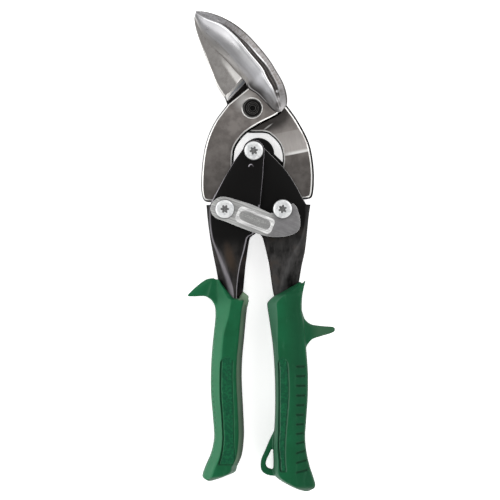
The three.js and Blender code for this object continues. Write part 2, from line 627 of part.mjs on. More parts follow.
/** Sleeve between two edges, rounded along its length, flat in front and behind. */
function sleeve(left, right, top, low) {
  const ring = (y, inset) => {
    const a = left(y) + inset;
    const b = right(y) - inset;
    const round = Math.min(GRIP_ROUND, (b - a) * 0.3);
    const back = GRIP_BACK + inset;
    const front = GRIP_FRONT - inset;
    const soft = round * 0.3;
    const flat = [
      [a, back + round], [a + soft, back + soft], [a + round, back], [b - round, back],
      [b - soft, back + soft],
      [b, back + round], [b, front - round], [b - soft, front - soft], [b - round, front], [a + round, front],
      [a + soft, front - soft], [a, front - round],
    ];
    return { flat, place: (across, height) => [across, y, height] };
  };
  const rows = steps(top, low + 12, 24).map((y) => ring(y, 0));
  const foot = [9, 6.5, 4, 2.4, 1.1].map((up) => ring(low + up, 0));
  return loft([...rows, ...foot, ring(low + 0.3, 0.5), ring(low, 1.1)]);
}

function guard(outline) {
  return plate(trace(...outline), GUARD_BACK, GUARD_FRONT, 0.6);
}

/** Recess in the front of a grip between two edges. */
function panel(left, right, top, low) {
  const rows = steps(top, low, 8);
  const points = [...rows.map((y) => [left(y), y]), ...rows.reverse().map((y) => [right(y), y])];
  return plate(corners(points), GRIP_FRONT - PANEL_DEPTH, GRIP_FRONT + PAST);
}

function makeLeftGrip() {
  const body = sleeve(leftGripLeft, leftGripRight, -83.9, -182.6);
  const hook = guard([
    [[-19, -83.3], [-22.9, -84.2], [-27.8, -87.9], [-31.4, -91.4]],
    [[-31.4, -92.3]],
    [[-27.8, -92.3], [-23.4, -92.1], [-21.5, -92.8], [-19.5, -94.4], [-18.3, -96.6], [-17.6, -99]],
    [[-13, -99], [-13, -88]],
    [[-16.6, -84.4]],
  ]);
  const lugOutline = corners([[-4.9, -95], [-4.7, -91.2], [-3.7, -90.1], [-1.6, -92.1], [-1.7, -95]]);
  const lug = plate(lugOutline, GUARD_BACK, 6, 0.4);
  const recess = panel((y) => leftGripLeft(y) + 5.2, (y) => leftGripRight(y) - 4.6, -121, -174);
  return body.add(hook).add(lug).subtract(recess).subtract(channel(LEFT_LEVER, TANG_PLAY, true));
}

function makeRightGrip() {
  const body = sleeve(rightGripLeft, rightGripRight, -84.2, -187.7);
  const spike = guard([
    [[24.6, -99.4], [26, -103.4], [29, -105.9], [33.4, -106.7], [40, -107.2]],
    [[40.8, -108]],
    [[40.6, -109.3], [38.4, -110.4], [34.2, -111.6], [29.7, -113.1], [27.2, -115.8], [26.4, -118]],
    [[21, -118], [20, -100]],
  ]);
  const loopOutline = trace(
    [[13.5, -157.5]],
    [[10.9, -158.2], [8.7, -162.6], [6.2, -168.5], [4.7, -172], [4.3, -175.3], [5, -177.9], [7.9, -179.8],
      [11.5, -180.2]],
    [[14, -180]],
  );
  const eye = trace([[10.4, -166], [8.6, -169.6], [7.3, -172.6], [7.1, -174.6], [8, -176.1], [10.2, -176.8]]);
  const loop = plate(loopOutline, -2, 4, 0.8).subtract(plate(eye, -PAST, PAST));
  const recess = panel((y) => rightGripLeft(y) + 3.4, (y) => rightGripRight(y) - 7.6, -123, -178);
  let grip = body.add(spike).subtract(recess);
  for (const y of steps(RIB_TOP, RIB_LOW, RIB_COUNT - 1)) {
    const [near, far] = [rightGripRight(y) - RIB_REACH, rightGripRight(y) - RIB_STOP];
    const rise = 1.6 * ease(-y, 150, 175);
    const groove = corners([[near, y - RIB_WIDTH / 2], [far, y - RIB_WIDTH / 2 + rise],
      [far, y + RIB_WIDTH / 2 + rise], [near, y + RIB_WIDTH / 2]]);
    grip = grip.subtract(plate(groove, GRIP_FRONT - RIB_DEPTH, GRIP_FRONT + PAST));
  }
  return grip.add(loop).subtract(channel(RIGHT_LEVER, TANG_PLAY, true));
}

// ---- Assembly --------------------------------------------------------------------------------------------

const group = new THREE.Group();

function add(name, shape, colour, metalness, roughness) {
  const { vertProperties, triVerts } = shape.getMesh();
  const geometry = new THREE.BufferGeometry();
  geometry.setAttribute('position', new THREE.BufferAttribute(new Float32Array(vertProperties), 3));
  geometry.setIndex(new THREE.BufferAttribute(new Uint32Array(triVerts), 1));
  const flat = geometry.toNonIndexed();
  flat.computeVertexNormals();
  const mesh = new THREE.Mesh(flat, new THREE.MeshStandardMaterial({ color: colour, metalness, roughness }));
  mesh.name = name;
  group.add(mesh);
}

const JAW_STEEL = [0xb9bbbd, 1, 0.28];
const FORGED_STEEL = [0x8b8782, 1, 0.42];
const BLACK_STEEL = [0x34322f, 0.7, 0.5];
const ZINC = [0xdadcdd, 0.9, 0.3];
const GREEN = [0x2b6a47, 0, 0.6];

const SHAFT_END = -9;
const LEVER_SEAT = LEVER_FRONT + SEAT;
const centreBolt = bolt(CENTRE_PIVOT, LEVER_SEAT, LEVER_SEAT, SHAFT_END, SHAFT_RADIUS + 0.01);
const leftNutHigh = LEFT_BACK - WASHER_HEIGHT - 2 * SEAT;
const bladeNutHigh = BACK_BLADE_LOW - WASHER_HEIGHT - 2 * SEAT;
const bladeWasher = washer(BLADE_PIVOT, BACK_BLADE_LOW - SEAT, BLADE_SHAFT_RADIUS, BLADE_WASHER_RADIUS);

add('front_blade', makeFrontBlade(), ...JAW_STEEL);
add('back_blade', makeBackBlade(), ...FORGED_STEEL);
add('blade_pivot_bolt', makeBladeBolt(), ...BLACK_STEEL);
add('blade_pivot_washer', bladeWasher, ...ZINC);
add('blade_pivot_nut', nut(BLADE_PIVOT, bladeNutHigh, BLADE_NUT_HEIGHT, BLADE_SHAFT_RADIUS), ...BLACK_STEEL);
add('left_lever', makeLever(LEFT_LEVER, leftFrontOutline, leftBackOutline, LEFT_PIVOT), ...BLACK_STEEL);
add('right_lever', makeLever(RIGHT_LEVER, rightFrontOutline, rightBackOutline, RIGHT_PIVOT), ...BLACK_STEEL);
add('centre_bolt', centreBolt, ...ZINC);
add('centre_bush', makeBush(), ...ZINC);
add('centre_nut', nut(CENTRE_PIVOT, RIGHT_BACK - SEAT), ...ZINC);
add('torsion_spring', makeSpring(), ...ZINC);
add('left_bolt', bolt(LEFT_PIVOT, LATCH_HEAD, LEVER_SEAT, LEFT_BACK - 4.6), ...ZINC);
add('left_nut_washer', washer(LEFT_PIVOT, LEFT_BACK - SEAT), ...ZINC);
add('left_nut', nut(LEFT_PIVOT, leftNutHigh), ...ZINC);
add('right_bolt', bolt(RIGHT_PIVOT, LATCH_HEAD, LEFT_INNER_FRONT - LAYER_PLAY + SEAT, SHAFT_END), ...ZINC);
add('right_nut', nut(RIGHT_PIVOT, RIGHT_BACK - SEAT), ...ZINC);
add('latch_washer', washer(LEFT_PIVOT, LEVER_FRONT + SEAT + WASHER_HEIGHT, SHOULDER_RADIUS), ...ZINC);
add('latch', makeLatch(), ...ZINC);
add('left_grip', makeLeftGrip(), ...GREEN);
add('right_grip', makeRightGrip(), ...GREEN);

const box = new THREE.Box3().setFromObject(group);
const middle = box.getCenter(new THREE.Vector3());
for (const mesh of group.children) mesh.geometry.translate(-middle.x, -middle.y, -box.min.z);

export default group;
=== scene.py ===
"""Dressed model of a pair of offset aviation snips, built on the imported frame."""

import enum
import logging
import math
from collections.abc import Callable, Iterable, Sequence
from dataclasses import dataclass
from typing import Any, Union

import bmesh
import bpy
from bmesh.types import BMEdge, BMesh, BMFace, BMVert
from bpy.types import ID, Material, Mesh, Object
from bpy.types import NodeSocket as Socket
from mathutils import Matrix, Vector, noise


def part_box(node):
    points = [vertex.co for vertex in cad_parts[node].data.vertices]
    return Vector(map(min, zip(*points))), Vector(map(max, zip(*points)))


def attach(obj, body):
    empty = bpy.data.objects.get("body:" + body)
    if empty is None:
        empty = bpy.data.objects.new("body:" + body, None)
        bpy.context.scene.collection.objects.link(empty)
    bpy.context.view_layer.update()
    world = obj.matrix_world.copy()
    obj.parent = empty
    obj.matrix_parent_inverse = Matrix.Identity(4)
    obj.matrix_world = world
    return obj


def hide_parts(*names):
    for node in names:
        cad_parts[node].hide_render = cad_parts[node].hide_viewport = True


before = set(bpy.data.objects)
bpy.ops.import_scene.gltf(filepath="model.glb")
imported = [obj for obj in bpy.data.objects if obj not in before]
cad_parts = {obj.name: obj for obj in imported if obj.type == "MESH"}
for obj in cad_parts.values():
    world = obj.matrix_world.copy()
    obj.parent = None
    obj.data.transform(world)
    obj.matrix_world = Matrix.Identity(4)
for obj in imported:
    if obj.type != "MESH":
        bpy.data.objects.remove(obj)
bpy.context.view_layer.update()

LOG = logging.getLogger("snips")

Point2 = tuple[float, float]
Point3 = tuple[float, float, float]
Colour = tuple[float, float, float]
Outline = Sequence[Point2]
Operand = Union["Field", float, int]
MM = 0.001
RELIEF_MAP = "relief"
MOULD_MARK = "moulding"

# Steps between two points of a smooth outline, tolerances in millimetres, and least angle at a rim.
CURVE_STEPS = 6
FLAT_WITHIN = 1e-5
WELD_WITHIN = 1e-4
SHARP_RADIANS = 1.0

# Axes and layers in the maker's frame, in millimetres: +y runs to the tip, z = 0 lies between the blades.
BLADE_PIVOT: Point2 = (0.4, 0.0)
CENTRE_PIVOT: Point2 = (0.9, -20.9)
LEFT_PIVOT: Point2 = (-13.2, -49.5)
RIGHT_PIVOT: Point2 = (15.0, -49.5)
SHEET = 2.5
LEFT_INNER_FRONT = 5.1
LEFT_INNER_BACK = -0.1
RIGHT_DEEPER = 2.55
SHEAR_PLANE = 5.02
SHEAR_GAP = 0.07
GRIP_BACK = -9.0
SHAFT_END = -9.0
SHAFT_CHAMFER = 0.4
SHANK_ROUND = 5.0
LEVER_ROUND = 5.3
BACK_BLADE_LOW = -5.0
LEFT_SHAFT_OUT = 4.6
LATCH_THICKNESS = 1.9
WASHER_HEIGHT = 0.6
NUT_RADIUS = 5.0
SEAT = 0.06
HOLE_PLAY = 0.09
WASHER_PLAY = 0.1
LAYER_PLAY = 0.05
LEVER_FRONT = LEFT_INNER_FRONT + SHEET
LEFT_BACK = LEFT_INNER_BACK - SHEET
RIGHT_BACK = LEFT_BACK - RIGHT_DEEPER
LATCH_LOW = LEVER_FRONT + WASHER_HEIGHT + 2 * SEAT
LATCH_HIGH = LATCH_LOW + LATCH_THICKNESS
LATCH_HEAD = LATCH_HIGH + SEAT + LAYER_PLAY

# Slanted relief of the back blade's plate: start, direction and its angle in degrees.
SLOT_FROM: Point2 = (-11.9, 3.3)
SLOT_ALONG: Point2 = (9.2, 9.8)
SLOT_TURN = 46.8
# Ramp of the back shank's joggle: heights of its top and foot at RAMP_X, and its lean.
RAMP: Point3 = (-10.8, -22.4, 0.2)
RAMP_X = 20.0
# Share along the front jaw at which the back jaw ends.
BACK_JAW_END = 5.62 / 11


class Body(enum.Enum):
    """Bodies of the frame."""

    LEFT_HANDLE = "left_handle"
    RIGHT_HANDLE = "right_handle"
    FRONT_BLADE = "front_blade_body"
    BACK_BLADE = "back_blade_body"
    LATCH = "latch_body"


class Slot(enum.Enum):
    """Material slots of the record."""

    JAW = "jaw_steel"
    FORGED = "forged_steel"
    BLACK = "black_steel"
    ZINC = "zinc_steel"
    SPRING = "spring_steel"
    LATCH = "latch_steel"
    GRIP = "green_grip"


def frame_shift() -> Vector:
    """Offset from the maker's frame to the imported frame, read off two nodes.

    Returns:
        The offset in millimetres.
    """
    low, high = (Vector(corner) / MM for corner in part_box("centre_bush"))
    middle = (low + high) / 2
    rest = Vector(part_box("left_grip")[0]).z / MM
    return Vector((middle.x - CENTRE_PIVOT[0], middle.y - CENTRE_PIVOT[1], rest - GRIP_BACK))


SHIFT = frame_shift()


# ---- Drawing -------------------------------------------------------------------------------------


def mix(a: float, b: float, t: float) -> float:
    """Value part way from a to b."""
    return a + (b - a) * t


def ease(value: float, low: float, high: float) -> float:
    """Smooth step of a value between two limits."""
    t = min(1.0, max(0.0, (value - low) / (high - low)))
    return t * t * (3 - 2 * t)


def fade(value: float, low: float, high: float) -> float:
    """Smooth fall of a value between two limits."""
    return 1 - ease(value, low, high)


def swell(value: float, low: float, full: float, fading: float, high: float) -> float:
    """Smooth rise of a value from low to full and fall from fading to high."""
    return ease(value, low, full) * fade(value, fading, high)


def spline(points: Outline, t: float) -> Vector:
    """Point of a uniform smooth curve through the points.

    Args:
        points: Points that the curve passes.
        t: Place on the curve from 0 to 1.

    Returns:
        The point.
    """
    place = t * (len(points) - 1)
    k = min(int(place), len(points) - 2)
    w = place - k
    near = [Vector(points[min(max(i, 0), len(points) - 1)]) for i in (k - 1, k, k + 1, k + 2)]
    if k == 0:
        near[0] = near[1]
    if k == len(points) - 2:
        near[3] = near[2]
    v0 = (near[2] - near[0]) * 0.5
    v1 = (near[3] - near[1]) * 0.5
    cubic = (near[1] - near[2]) * 2 + v0 + v1
    square = (near[2] - near[1]) * 3 - v0 * 2 - v1
    return cubic * w**3 + square * w**2 + v0 * w + near[1]


def trace(*runs: Outline) -> list[Point2]:
    """Outline of runs: three or more points make a smooth curve, fewer are corners.

    Args:
        runs: Point lists in order round the outline.

    Returns:
        The outline's points.
    """
    points: list[Point2] = []
    for run in runs:
        if len(run) < 3:
            points.extend((float(x), float(y)) for x, y in run)
            continue
        count = (len(run) - 1) * CURVE_STEPS
        points.extend(tuple(spline(run, k / count)) for k in range(count + 1))
    return points


def arc(centre: Point2, radius: float, start: float, end: float, steps: int) -> list[Point2]:
    """Points of an arc about a centre from a start to an end in degrees."""
    angles = [math.radians(mix(start, end, k / steps)) for k in range(steps + 1)]
    return [(centre[0] + radius * math.cos(a), centre[1] + radius * math.sin(a)) for a in angles]


def circle(centre: Point2, radius: float, count: int) -> list[Point2]:
    """A full circle of so many points."""
    return arc(centre, radius, 0, 360 - 360 / count, count - 1)


def edge_at(points: Outline, y: float) -> float:
    """Smooth x of an edge at a height, through points listed from top to bottom.

    Args:
        points: Points of the edge.
        y: Height.

    Returns:
        The edge's x.
    """
    k = 0
    while k < len(points) - 2 and y < points[k + 1][1]:
        k += 1

    def at(i: int) -> Point2:
        """Point i, held within the list."""
        return points[min(max(i, 0), len(points) - 1)]

    def slope(i: int) -> float:
        """Slope of the edge at point i."""
        return (at(i + 1)[0] - at(i - 1)[0]) / (at(i + 1)[1] - at(i - 1)[1])

    span = at(k + 1)[1] - at(k)[1]
    t = min(1.0, max(0.0, (y - at(k)[1]) / span))
    rise = ease(t, 0.0, 1.0)
    bend = slope(k) * span * t * (1 - t) ** 2 - slope(k + 1) * span * t * t * (1 - t)
    return at(k)[0] + (at(k + 1)[0] - at(k)[0]) * rise + bend


# ---- Solids --------------------------------------------------------------------------------------


class Solid:
    """One mesh under construction, in millimetres in the maker's frame."""

    def __init__(self) -> None:
        """Starts with nothing in it."""
        self.bm = bmesh.new()

    def loop(self, points: Iterable[Sequence[float]], height: float = 0.0) -> list[BMEdge]:
        """Adds a closed loop of edges, at a height where its points have two numbers only."""
        verts = [self.bm.verts.new((*spot, height) if len(spot) == 2 else spot) for spot in points]
        return [self.bm.edges.new((verts[k - 1], verts[k])) for k in range(len(verts))]

    def raised(
        self, outline: Outline, low: float, high: float, holes: Sequence[Outline]
    ) -> tuple[set[BMFace], list[BMFace]]:
        """Adds a straight plate.

        Args:
            outline: Outer outline.
            low: Height of the back face.
            high: Height of the front face.
            holes: Outlines of holes.

        Returns:
            All faces of the plate, and those of its front.
        """
        edges = [e for points in (outline, *holes) for e in self.loop(points, low)]
        made = bmesh.ops.triangle_fill(self.bm, use_beauty=True, use_dissolve=True, edges=edges)
        faces = [g for g in made["geom"] if isinstance(g, BMFace)]
        grown = bmesh.ops.extrude_face_region(self.bm, geom=faces)
        top = [g for g in grown["geom"] if isinstance(g, BMVert)]
        front = [g for g in grown["geom"] if isinstance(g, BMFace)]
        bmesh.ops.translate(self.bm, verts=top, vec=(0, 0, high - low))
        every = {f for v in top for f in v.link_faces} | set(faces)
        bmesh.ops.recalc_face_normals(self.bm, faces=list(every))
        return every, front

    def plate(
        self, outline: Outline, low: float, high: float, holes: Sequence[Outline] = (), broken: float = 0.0,
        broken_low: float | None = None, rounds: int = 2,
    ) -> "Solid":
        """Adds a flat plate with its edges broken.

        Args:
            outline: Outer outline.
            low: Height of the back face.
            high: Height of the front face.
            holes: Outlines of holes.
            broken: Width of the broken front edge.
            broken_low: Width of the broken back edge, the same as in front if left out.
            rounds: Segments of the broken edges.

        Returns:
            This solid.
        """
        faces, _ = self.raised(outline, low, high, holes)
        for height, width in ((high, broken), (low, broken if broken_low is None else broken_low)):
            rim = {e for f in faces if f.is_valid for e in f.edges if self.on_rim(e, height)}
            if width > 0 and rim:
                bmesh.ops.bevel(
                    self.bm, geom=list(rim), offset=width, affect="EDGES", segments=rounds, profile=0.5,
                    material=-1, clamp_overlap=True,
                )
        return self

    def forged(
        self, outline: Outline, low: float, high: float, holes: Sequence[Outline], wall: Point2,
        chamfer: Point2, draft: float,
    ) -> "Solid":
        """Adds a forged plate whose walls lean in towards a bright chamfer.

        Args:
            outline: Outer outline.
            low: Height of the back face.
            high: Height of the front face.
            holes: Outlines of holes.
            wall: Width and rise of the leaning part of the wall.
            chamfer: Width and rise of the chamfer.
            draft: Move of the front face to the left, as the forging die left it.

        Returns:
            This solid.
        """
        _, front = self.raised(outline, low, high - wall[1] - chamfer[1], holes)
        for width, rise in (wall, chamfer):
            bmesh.ops.inset_region(
                self.bm, faces=front, thickness=width, depth=rise, use_boundary=True, use_even_offset=True
            )
            top = list({v for f in front for v in f.verts})
            bmesh.ops.translate(self.bm, verts=top, vec=(-draft * rise / wall[1], 0, 0))
        return self

    @staticmethod
    def on_rim(side: BMEdge, height: float) -> bool:
        """Whether an edge bounds a flat face at a height."""
        level = all(abs(v.co.z - height) < FLAT_WITHIN for v in side.verts)
        return level and len(side.link_faces) == 2 and side.calc_face_angle(0.0) > SHARP_RADIANS

    def cut(self, place: Sequence[float], normal: Sequence[float], cleared: bool = False) -> None:
        """Cuts along a plane and, if asked, clears its outer side and closes the solid again.

        Args:
            place: Point of the plane.
            normal: Direction of its outer side.
            cleared: Whether the outer side goes.
        """
        every = [*self.bm.verts, *self.bm.edges, *self.bm.faces]
        within = FLAT_WITHIN if cleared else 0.0
        made = bmesh.ops.bisect_plane(
            self.bm, geom=every, plane_co=place, plane_no=normal, clear_outer=cleared, dist=within
        )
        if cleared:
            rim = [g for g in made["geom_cut"] if isinstance(g, BMEdge)]
            bmesh.ops.holes_fill(self.bm, edges=rim, sides=0)

    def turned(self, centre: Point2, profile: Outline, steps: int = 64) -> "Solid":
        """Adds a round solid spun from a profile of radius and height.

        Args:
            centre: Axis.
            profile: Points of radius and height.
            steps: Steps of the spin.

        Returns:
            This solid.
        """
        verts = [self.bm.verts.new((centre[0] + r, centre[1], z)) for r, z in profile]
        edges = [self.bm.edges.new(pair) for pair in zip(verts, verts[1:])]
        bmesh.ops.spin(
            self.bm, geom=verts + edges, cent=(*centre, 0), axis=(0, 0, 1), angle=math.tau, steps=steps,
            use_merge=True, use_duplicate=False,
        )
        bmesh.ops.remove_doubles(self.bm, verts=self.bm.verts, dist=WELD_WITHIN)
        return self

    def collar(
        self, centre: Point2, bore: float, radius: float, low: float, high: float, broken: float = 0.1
    ) -> "Solid":
        """Adds a washer or bush with its outer edges broken.

        Args:
            centre: Axis.
            bore: Radius of the bore.
            radius: Outer radius.
            low: Height of the back face.
            high: Height of the front face.
            broken: Width of the broken edges.

        Returns:
            This solid.
        """
        inner = radius - broken
        wall = [(inner, high), (radius, high - broken), (radius, low + broken), (inner, low)]
        return self.turned(centre, [(bore, low), (bore, high), *wall, (bore, low)])

    def skin(
        self, across: int, along: int, place: Callable[[float, float], Point3],
        share: Callable[[float, float], Point2] | None = None,
    ) -> "Solid":
        """Adds a closed tube with end caps, whose points a rule puts in space.

        Args:
            across: Steps round the tube.
            along: Steps along it.
            place: Gives the place of a point from its shares round and along.
            share: Gives the map coordinates of a point from the same shares.

        Returns:
            This solid.
        """
        verts = bmesh.ops.create_grid(self.bm, x_segments=across, y_segments=along, size=0.5)["verts"]
        if share:
            layer = self.bm.loops.layers.uv.new(RELIEF_MAP)
            for corner in [corner for face in self.bm.faces for corner in face.loops]:
                corner[layer].uv = share(corner.vert.co.x + 0.5, corner.vert.co.y + 0.5)
        for vert in verts:
            vert.co = place(vert.co.x + 0.5, vert.co.y + 0.5)
        bmesh.ops.remove_doubles(self.bm, verts=verts, dist=WELD_WITHIN)
        bmesh.ops.holes_fill(self.bm, edges=[e for e in self.bm.edges if e.is_boundary], sides=0)
        return self

    def shaded(self, sharp_degrees: float) -> "Solid":
        """Makes faces smooth and edges over an angle sharp.

        Args:
            sharp_degrees: Angle over which an edge stays sharp.

        Returns:
            This solid.
        """
        bmesh.ops.recalc_face_normals(self.bm, faces=self.bm.faces)
        for face in self.bm.faces:
            face.smooth = True
        limit = math.radians(sharp_degrees)
        for side in self.bm.edges:
            side.smooth = side.calc_face_angle(0.0) < limit
        return self

    def mesh(self, name: str) -> Mesh:
        """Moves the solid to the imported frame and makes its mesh.

        Args:
            name: Name of the mesh.

        Returns:
            The mesh.
        """
        bmesh.ops.translate(self.bm, verts=self.bm.verts, vec=SHIFT)
        bmesh.ops.scale(self.bm, verts=self.bm.verts, vec=(MM, MM, MM))
        data = bpy.data.meshes.new(name)
        self.bm.to_mesh(data)
        self.bm.free()
        return data


def link(name: str, data: ID) -> Object:
    """Adds an object to the scene.

    Args:
        name: Its name.
        data: Its mesh, curve, camera or light.

    Returns:
        The object.
    """
    made = bpy.data.objects.new(name, data)
    bpy.context.scene.collection.objects.link(made)
    return made


def place_piece(name: str, data: ID, body: Body, nodes: Sequence[str]) -> None:
    """Adds a piece, ties it to its body and its frame nodes, and reports it.

    Args:
        name: Name of the piece.
        data: Its mesh or curve, with its material.
        body: Body that it rides on.
        nodes: Frame nodes that it stands for.
    """
    made = link(name, data)
    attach(made, body.value)
    if nodes:
        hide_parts(*nodes)
    LOG.info("%s on %s for %s", name, body.value, ", ".join(nodes) or "no node of its own")


def piece(
    name: str, solid: Solid, finish: Material, body: Body, nodes: Sequence[str] = (),
    sharp: float = 32.0,
) -> None:
    """Turns a solid into a finished piece of the object.

    Args:
        name: Name of the piece.
        solid: Its shape.
        finish: Its material.
        body: Body that it rides on.
        nodes: Frame nodes that it stands for.
        sharp: Angle in degrees over which edges stay sharp.
    """
    data = solid.shaded(sharp).mesh(name)
    data.materials.append(finish)
    place_piece(name, data, body, nodes)


# ---- Finishes ------------------------------------------------------------------------------------


@dataclass(frozen=True)
class Field:
    """A shader socket that takes part in Python arithmetic."""

    recipe: "Recipe"
    socket: Socket

    def __add__(self, other: Operand) -> "Field":
        """Sum."""
        return self.recipe.math("ADD", self, other)

    __radd__ = __add__

    def __sub__(self, other: Operand) -> "Field":
        """Difference."""
        return self.recipe.math("SUBTRACT", self, other)

    def __rsub__(self, other: Operand) -> "Field":
        """Difference with this value taken off."""
        return self.recipe.math("SUBTRACT", other, self)

    def __mul__(self, other: Operand) -> "Field":
        """Product."""
        return self.recipe.math("MULTIPLY", self, other)

    __rmul__ = __mul__

    def step(self, low: float, high: float) -> "Field":
        """Smooth rise of this value.

        Args:
            low: Value up to which the result is 0.
            high: Value from which it is 1.

        Returns:
            The result.
        """
        inputs = {"Value": self, "From Min": low, "From Max": high}
        node = self.recipe.node("ShaderNodeMapRange", {"interpolation_type": "SMOOTHSTEP"}, inputs)
        return Field(self.recipe, node.outputs["Result"])

    def fall(self, low: float, high: float) -> "Field":
        """Smooth fall from 1 at low to 0 at high."""
        return 1 - self.step(low, high)

    def band(self, low: float, full: float, fading: float, high: float) -> "Field":
        """Smooth rise from 0 at low to 1 at full and fall from 1 at fading to 0 at high."""
        return self.step(low, full) * self.fall(fading, high)


class Nodes:
    """Adds nodes to a tree and feeds their sockets."""

    def __init__(self, tree: bpy.types.NodeTree) -> None:
        """Takes the tree to build in."""
        self.tree = tree

    def feed(self, socket: Socket, value: Any) -> None:
        """Links a socket, or sets a constant on it.

        Args:
            socket: The socket to feed.
            value: A field, another socket or a constant.
        """
        source = value.socket if isinstance(value, Field) else value
        if isinstance(source, Socket):
            self.tree.links.new(source, socket)
        else:
            socket.default_value = source

    def node(self, kind: str, settings: dict[str, Any], inputs: dict[Any, Any]) -> bpy.types.Node:
        """Adds a node.

        Args:
            kind: Type of the node.
            settings: Its properties, set first.
            inputs: Values or links of its sockets by name or number.

        Returns:
            The node.
        """
        made = self.tree.nodes.new(kind)
        for key, value in settings.items():
            setattr(made, key, value)
        for key, value in inputs.items():
            self.feed(made.inputs[key], value)
        return made


class Recipe(Nodes):
    """Builds one material's nodes."""

    def __init__(self, name: str) -> None:
        """Starts a material with its shader.

        Args:
            name: Its name.
        """
        self.material = bpy.data.materials.new(name)
        self.material.use_nodes = True
        super().__init__(self.material.node_tree)
        self.shader = next(n for n in self.tree.nodes if n.type == "BSDF_PRINCIPLED")
        self.place = self.node("ShaderNodeTexCoord", {}, {}).outputs["Object"]

    def math(self, kind: str, *values: Operand) -> Field:
        """Adds a Math node on values."""
        node = self.node("ShaderNodeMath", {"operation": kind}, dict(enumerate(values)))
        return Field(self, node.outputs[0])

    def spot(self, stretch: Point3 = (1, 1, 1), turn: float = 0.0, centre: Point2 = (0, 0)) -> Socket:
        """Object coordinates in millimetres of the maker's frame, turned about an axis and stretched.

        Args:
            stretch: Factor on each axis after the turn.
            turn: Turn about the vertical in degrees.
            centre: Middle of the turn.

        Returns:
            The vector socket.
        """
        vector = self.place
        origin = (-SHIFT.x - centre[0], -SHIFT.y - centre[1], -SHIFT.z)
        moved = {"Scale": (1 / MM,) * 3, "Location": origin}
        for inputs in (moved, {"Rotation": (0, 0, math.radians(-turn))}, {"Scale": stretch}):
            made = self.node("ShaderNodeMapping", {"vector_type": "POINT"}, {"Vector": vector, **inputs})
            vector = made.outputs[0]
        return vector

    def noise(
        self, vector: Socket, scale: float, detail: float = 3.0, rough: float = 0.5
    ) -> Field:
        """Noise of a size, about 0.5 in the middle."""
        inputs = {"Vector": vector, "Scale": scale, "Detail": detail, "Roughness": rough}
        return Field(self, self.node("ShaderNodeTexNoise", {}, inputs).outputs["Fac"])

    def axis(self, vector: Socket, name: str) -> Field:
        """One axis of a vector."""
        return Field(self, self.node("ShaderNodeSeparateXYZ", {}, {0: vector}).outputs[name])

    def facing(self) -> Field:
        """How flat a surface lies: 1 on flat faces, less on chamfers, 0 on upright walls."""
        normal = self.node("ShaderNodeNewGeometry", {}, {}).outputs["True Normal"]
        return self.math("ABSOLUTE", self.axis(normal, "Z"))

    def near(
        self, centre: Point2, inner: float, outer: float, stretch: Point2 = (1, 1), turn: float = 0.0
    ) -> Field:
        """Share that fades from 1 near a place to 0 further away.

        Args:
            centre: The place.
            inner: Radius up to which the share is 1.
            outer: Radius from which it is 0.
            stretch: Factors on both radii along the turned axes.
            turn: Turn of the axes in degrees.

        Returns:
            The share.
        """
        spot = self.spot((1 / stretch[0], 1 / stretch[1], 0.0), turn, centre)
        size = self.node("ShaderNodeVectorMath", {"operation": "LENGTH"}, {0: spot}).outputs["Value"]
        return Field(self, size).fall(inner, outer)

    def relief(self) -> Socket:
        """The map of a lofted piece."""
        return self.node("ShaderNodeUVMap", {"uv_map": RELIEF_MAP}, {}).outputs[0]

    def stretched(self, vector: Socket, factor: Point3) -> Socket:
        """A vector multiplied axis by axis."""
        return self.node("ShaderNodeVectorMath", {"operation": "MULTIPLY"}, {0: vector, 1: factor}).outputs[0]

    def blend(self, share: Operand, a: Any, b: Any) -> Socket:
        """Colour between two colours."""
        inputs = {0: share, 6: self.rgba(a), 7: self.rgba(b)}
        return self.node("ShaderNodeMix", {"data_type": "RGBA"}, inputs).outputs[2]

    @staticmethod
    def speckle(a: Field, b: Field, share: float = 0.5, low: float = 0.3, high: float = 0.7) -> Field:
        """Two noises mixed and spread over the range from 0 to 1."""
        return (a * share + b * (1 - share)).step(low, high)

    @staticmethod
    def rgba(colour: Any) -> Any:
        """A colour with its alpha, or a socket as it is."""
        return (*colour, 1) if isinstance(colour, tuple) else colour

    def finish(
        self, colour: Any, rough: Any, bump: Any = None, height: float = 0.02, **others: Any
    ) -> Material:
        """Connects the results to the shader.

        Args:
            colour: Base colour or its socket.
            rough: Roughness or its field.
            bump: Height field of the surface, if any.
            height: Height of the bump in millimetres.
            others: Other sockets of the shader, as constants or fields.

        Returns:
            The material.
        """
        values = {"Base Color": self.rgba(colour), "Roughness": rough}
        if bump is not None:
            inputs = {"Strength": 1.0, "Distance": height * MM, "Height": bump}
            values["Normal"] = self.node("ShaderNodeBump", {}, inputs).outputs[0]
        values |= {key.replace("_", " "): value for key, value in others.items()}
        for key, value in values.items():
            self.feed(self.shader.inputs[key], value)
        return self.material


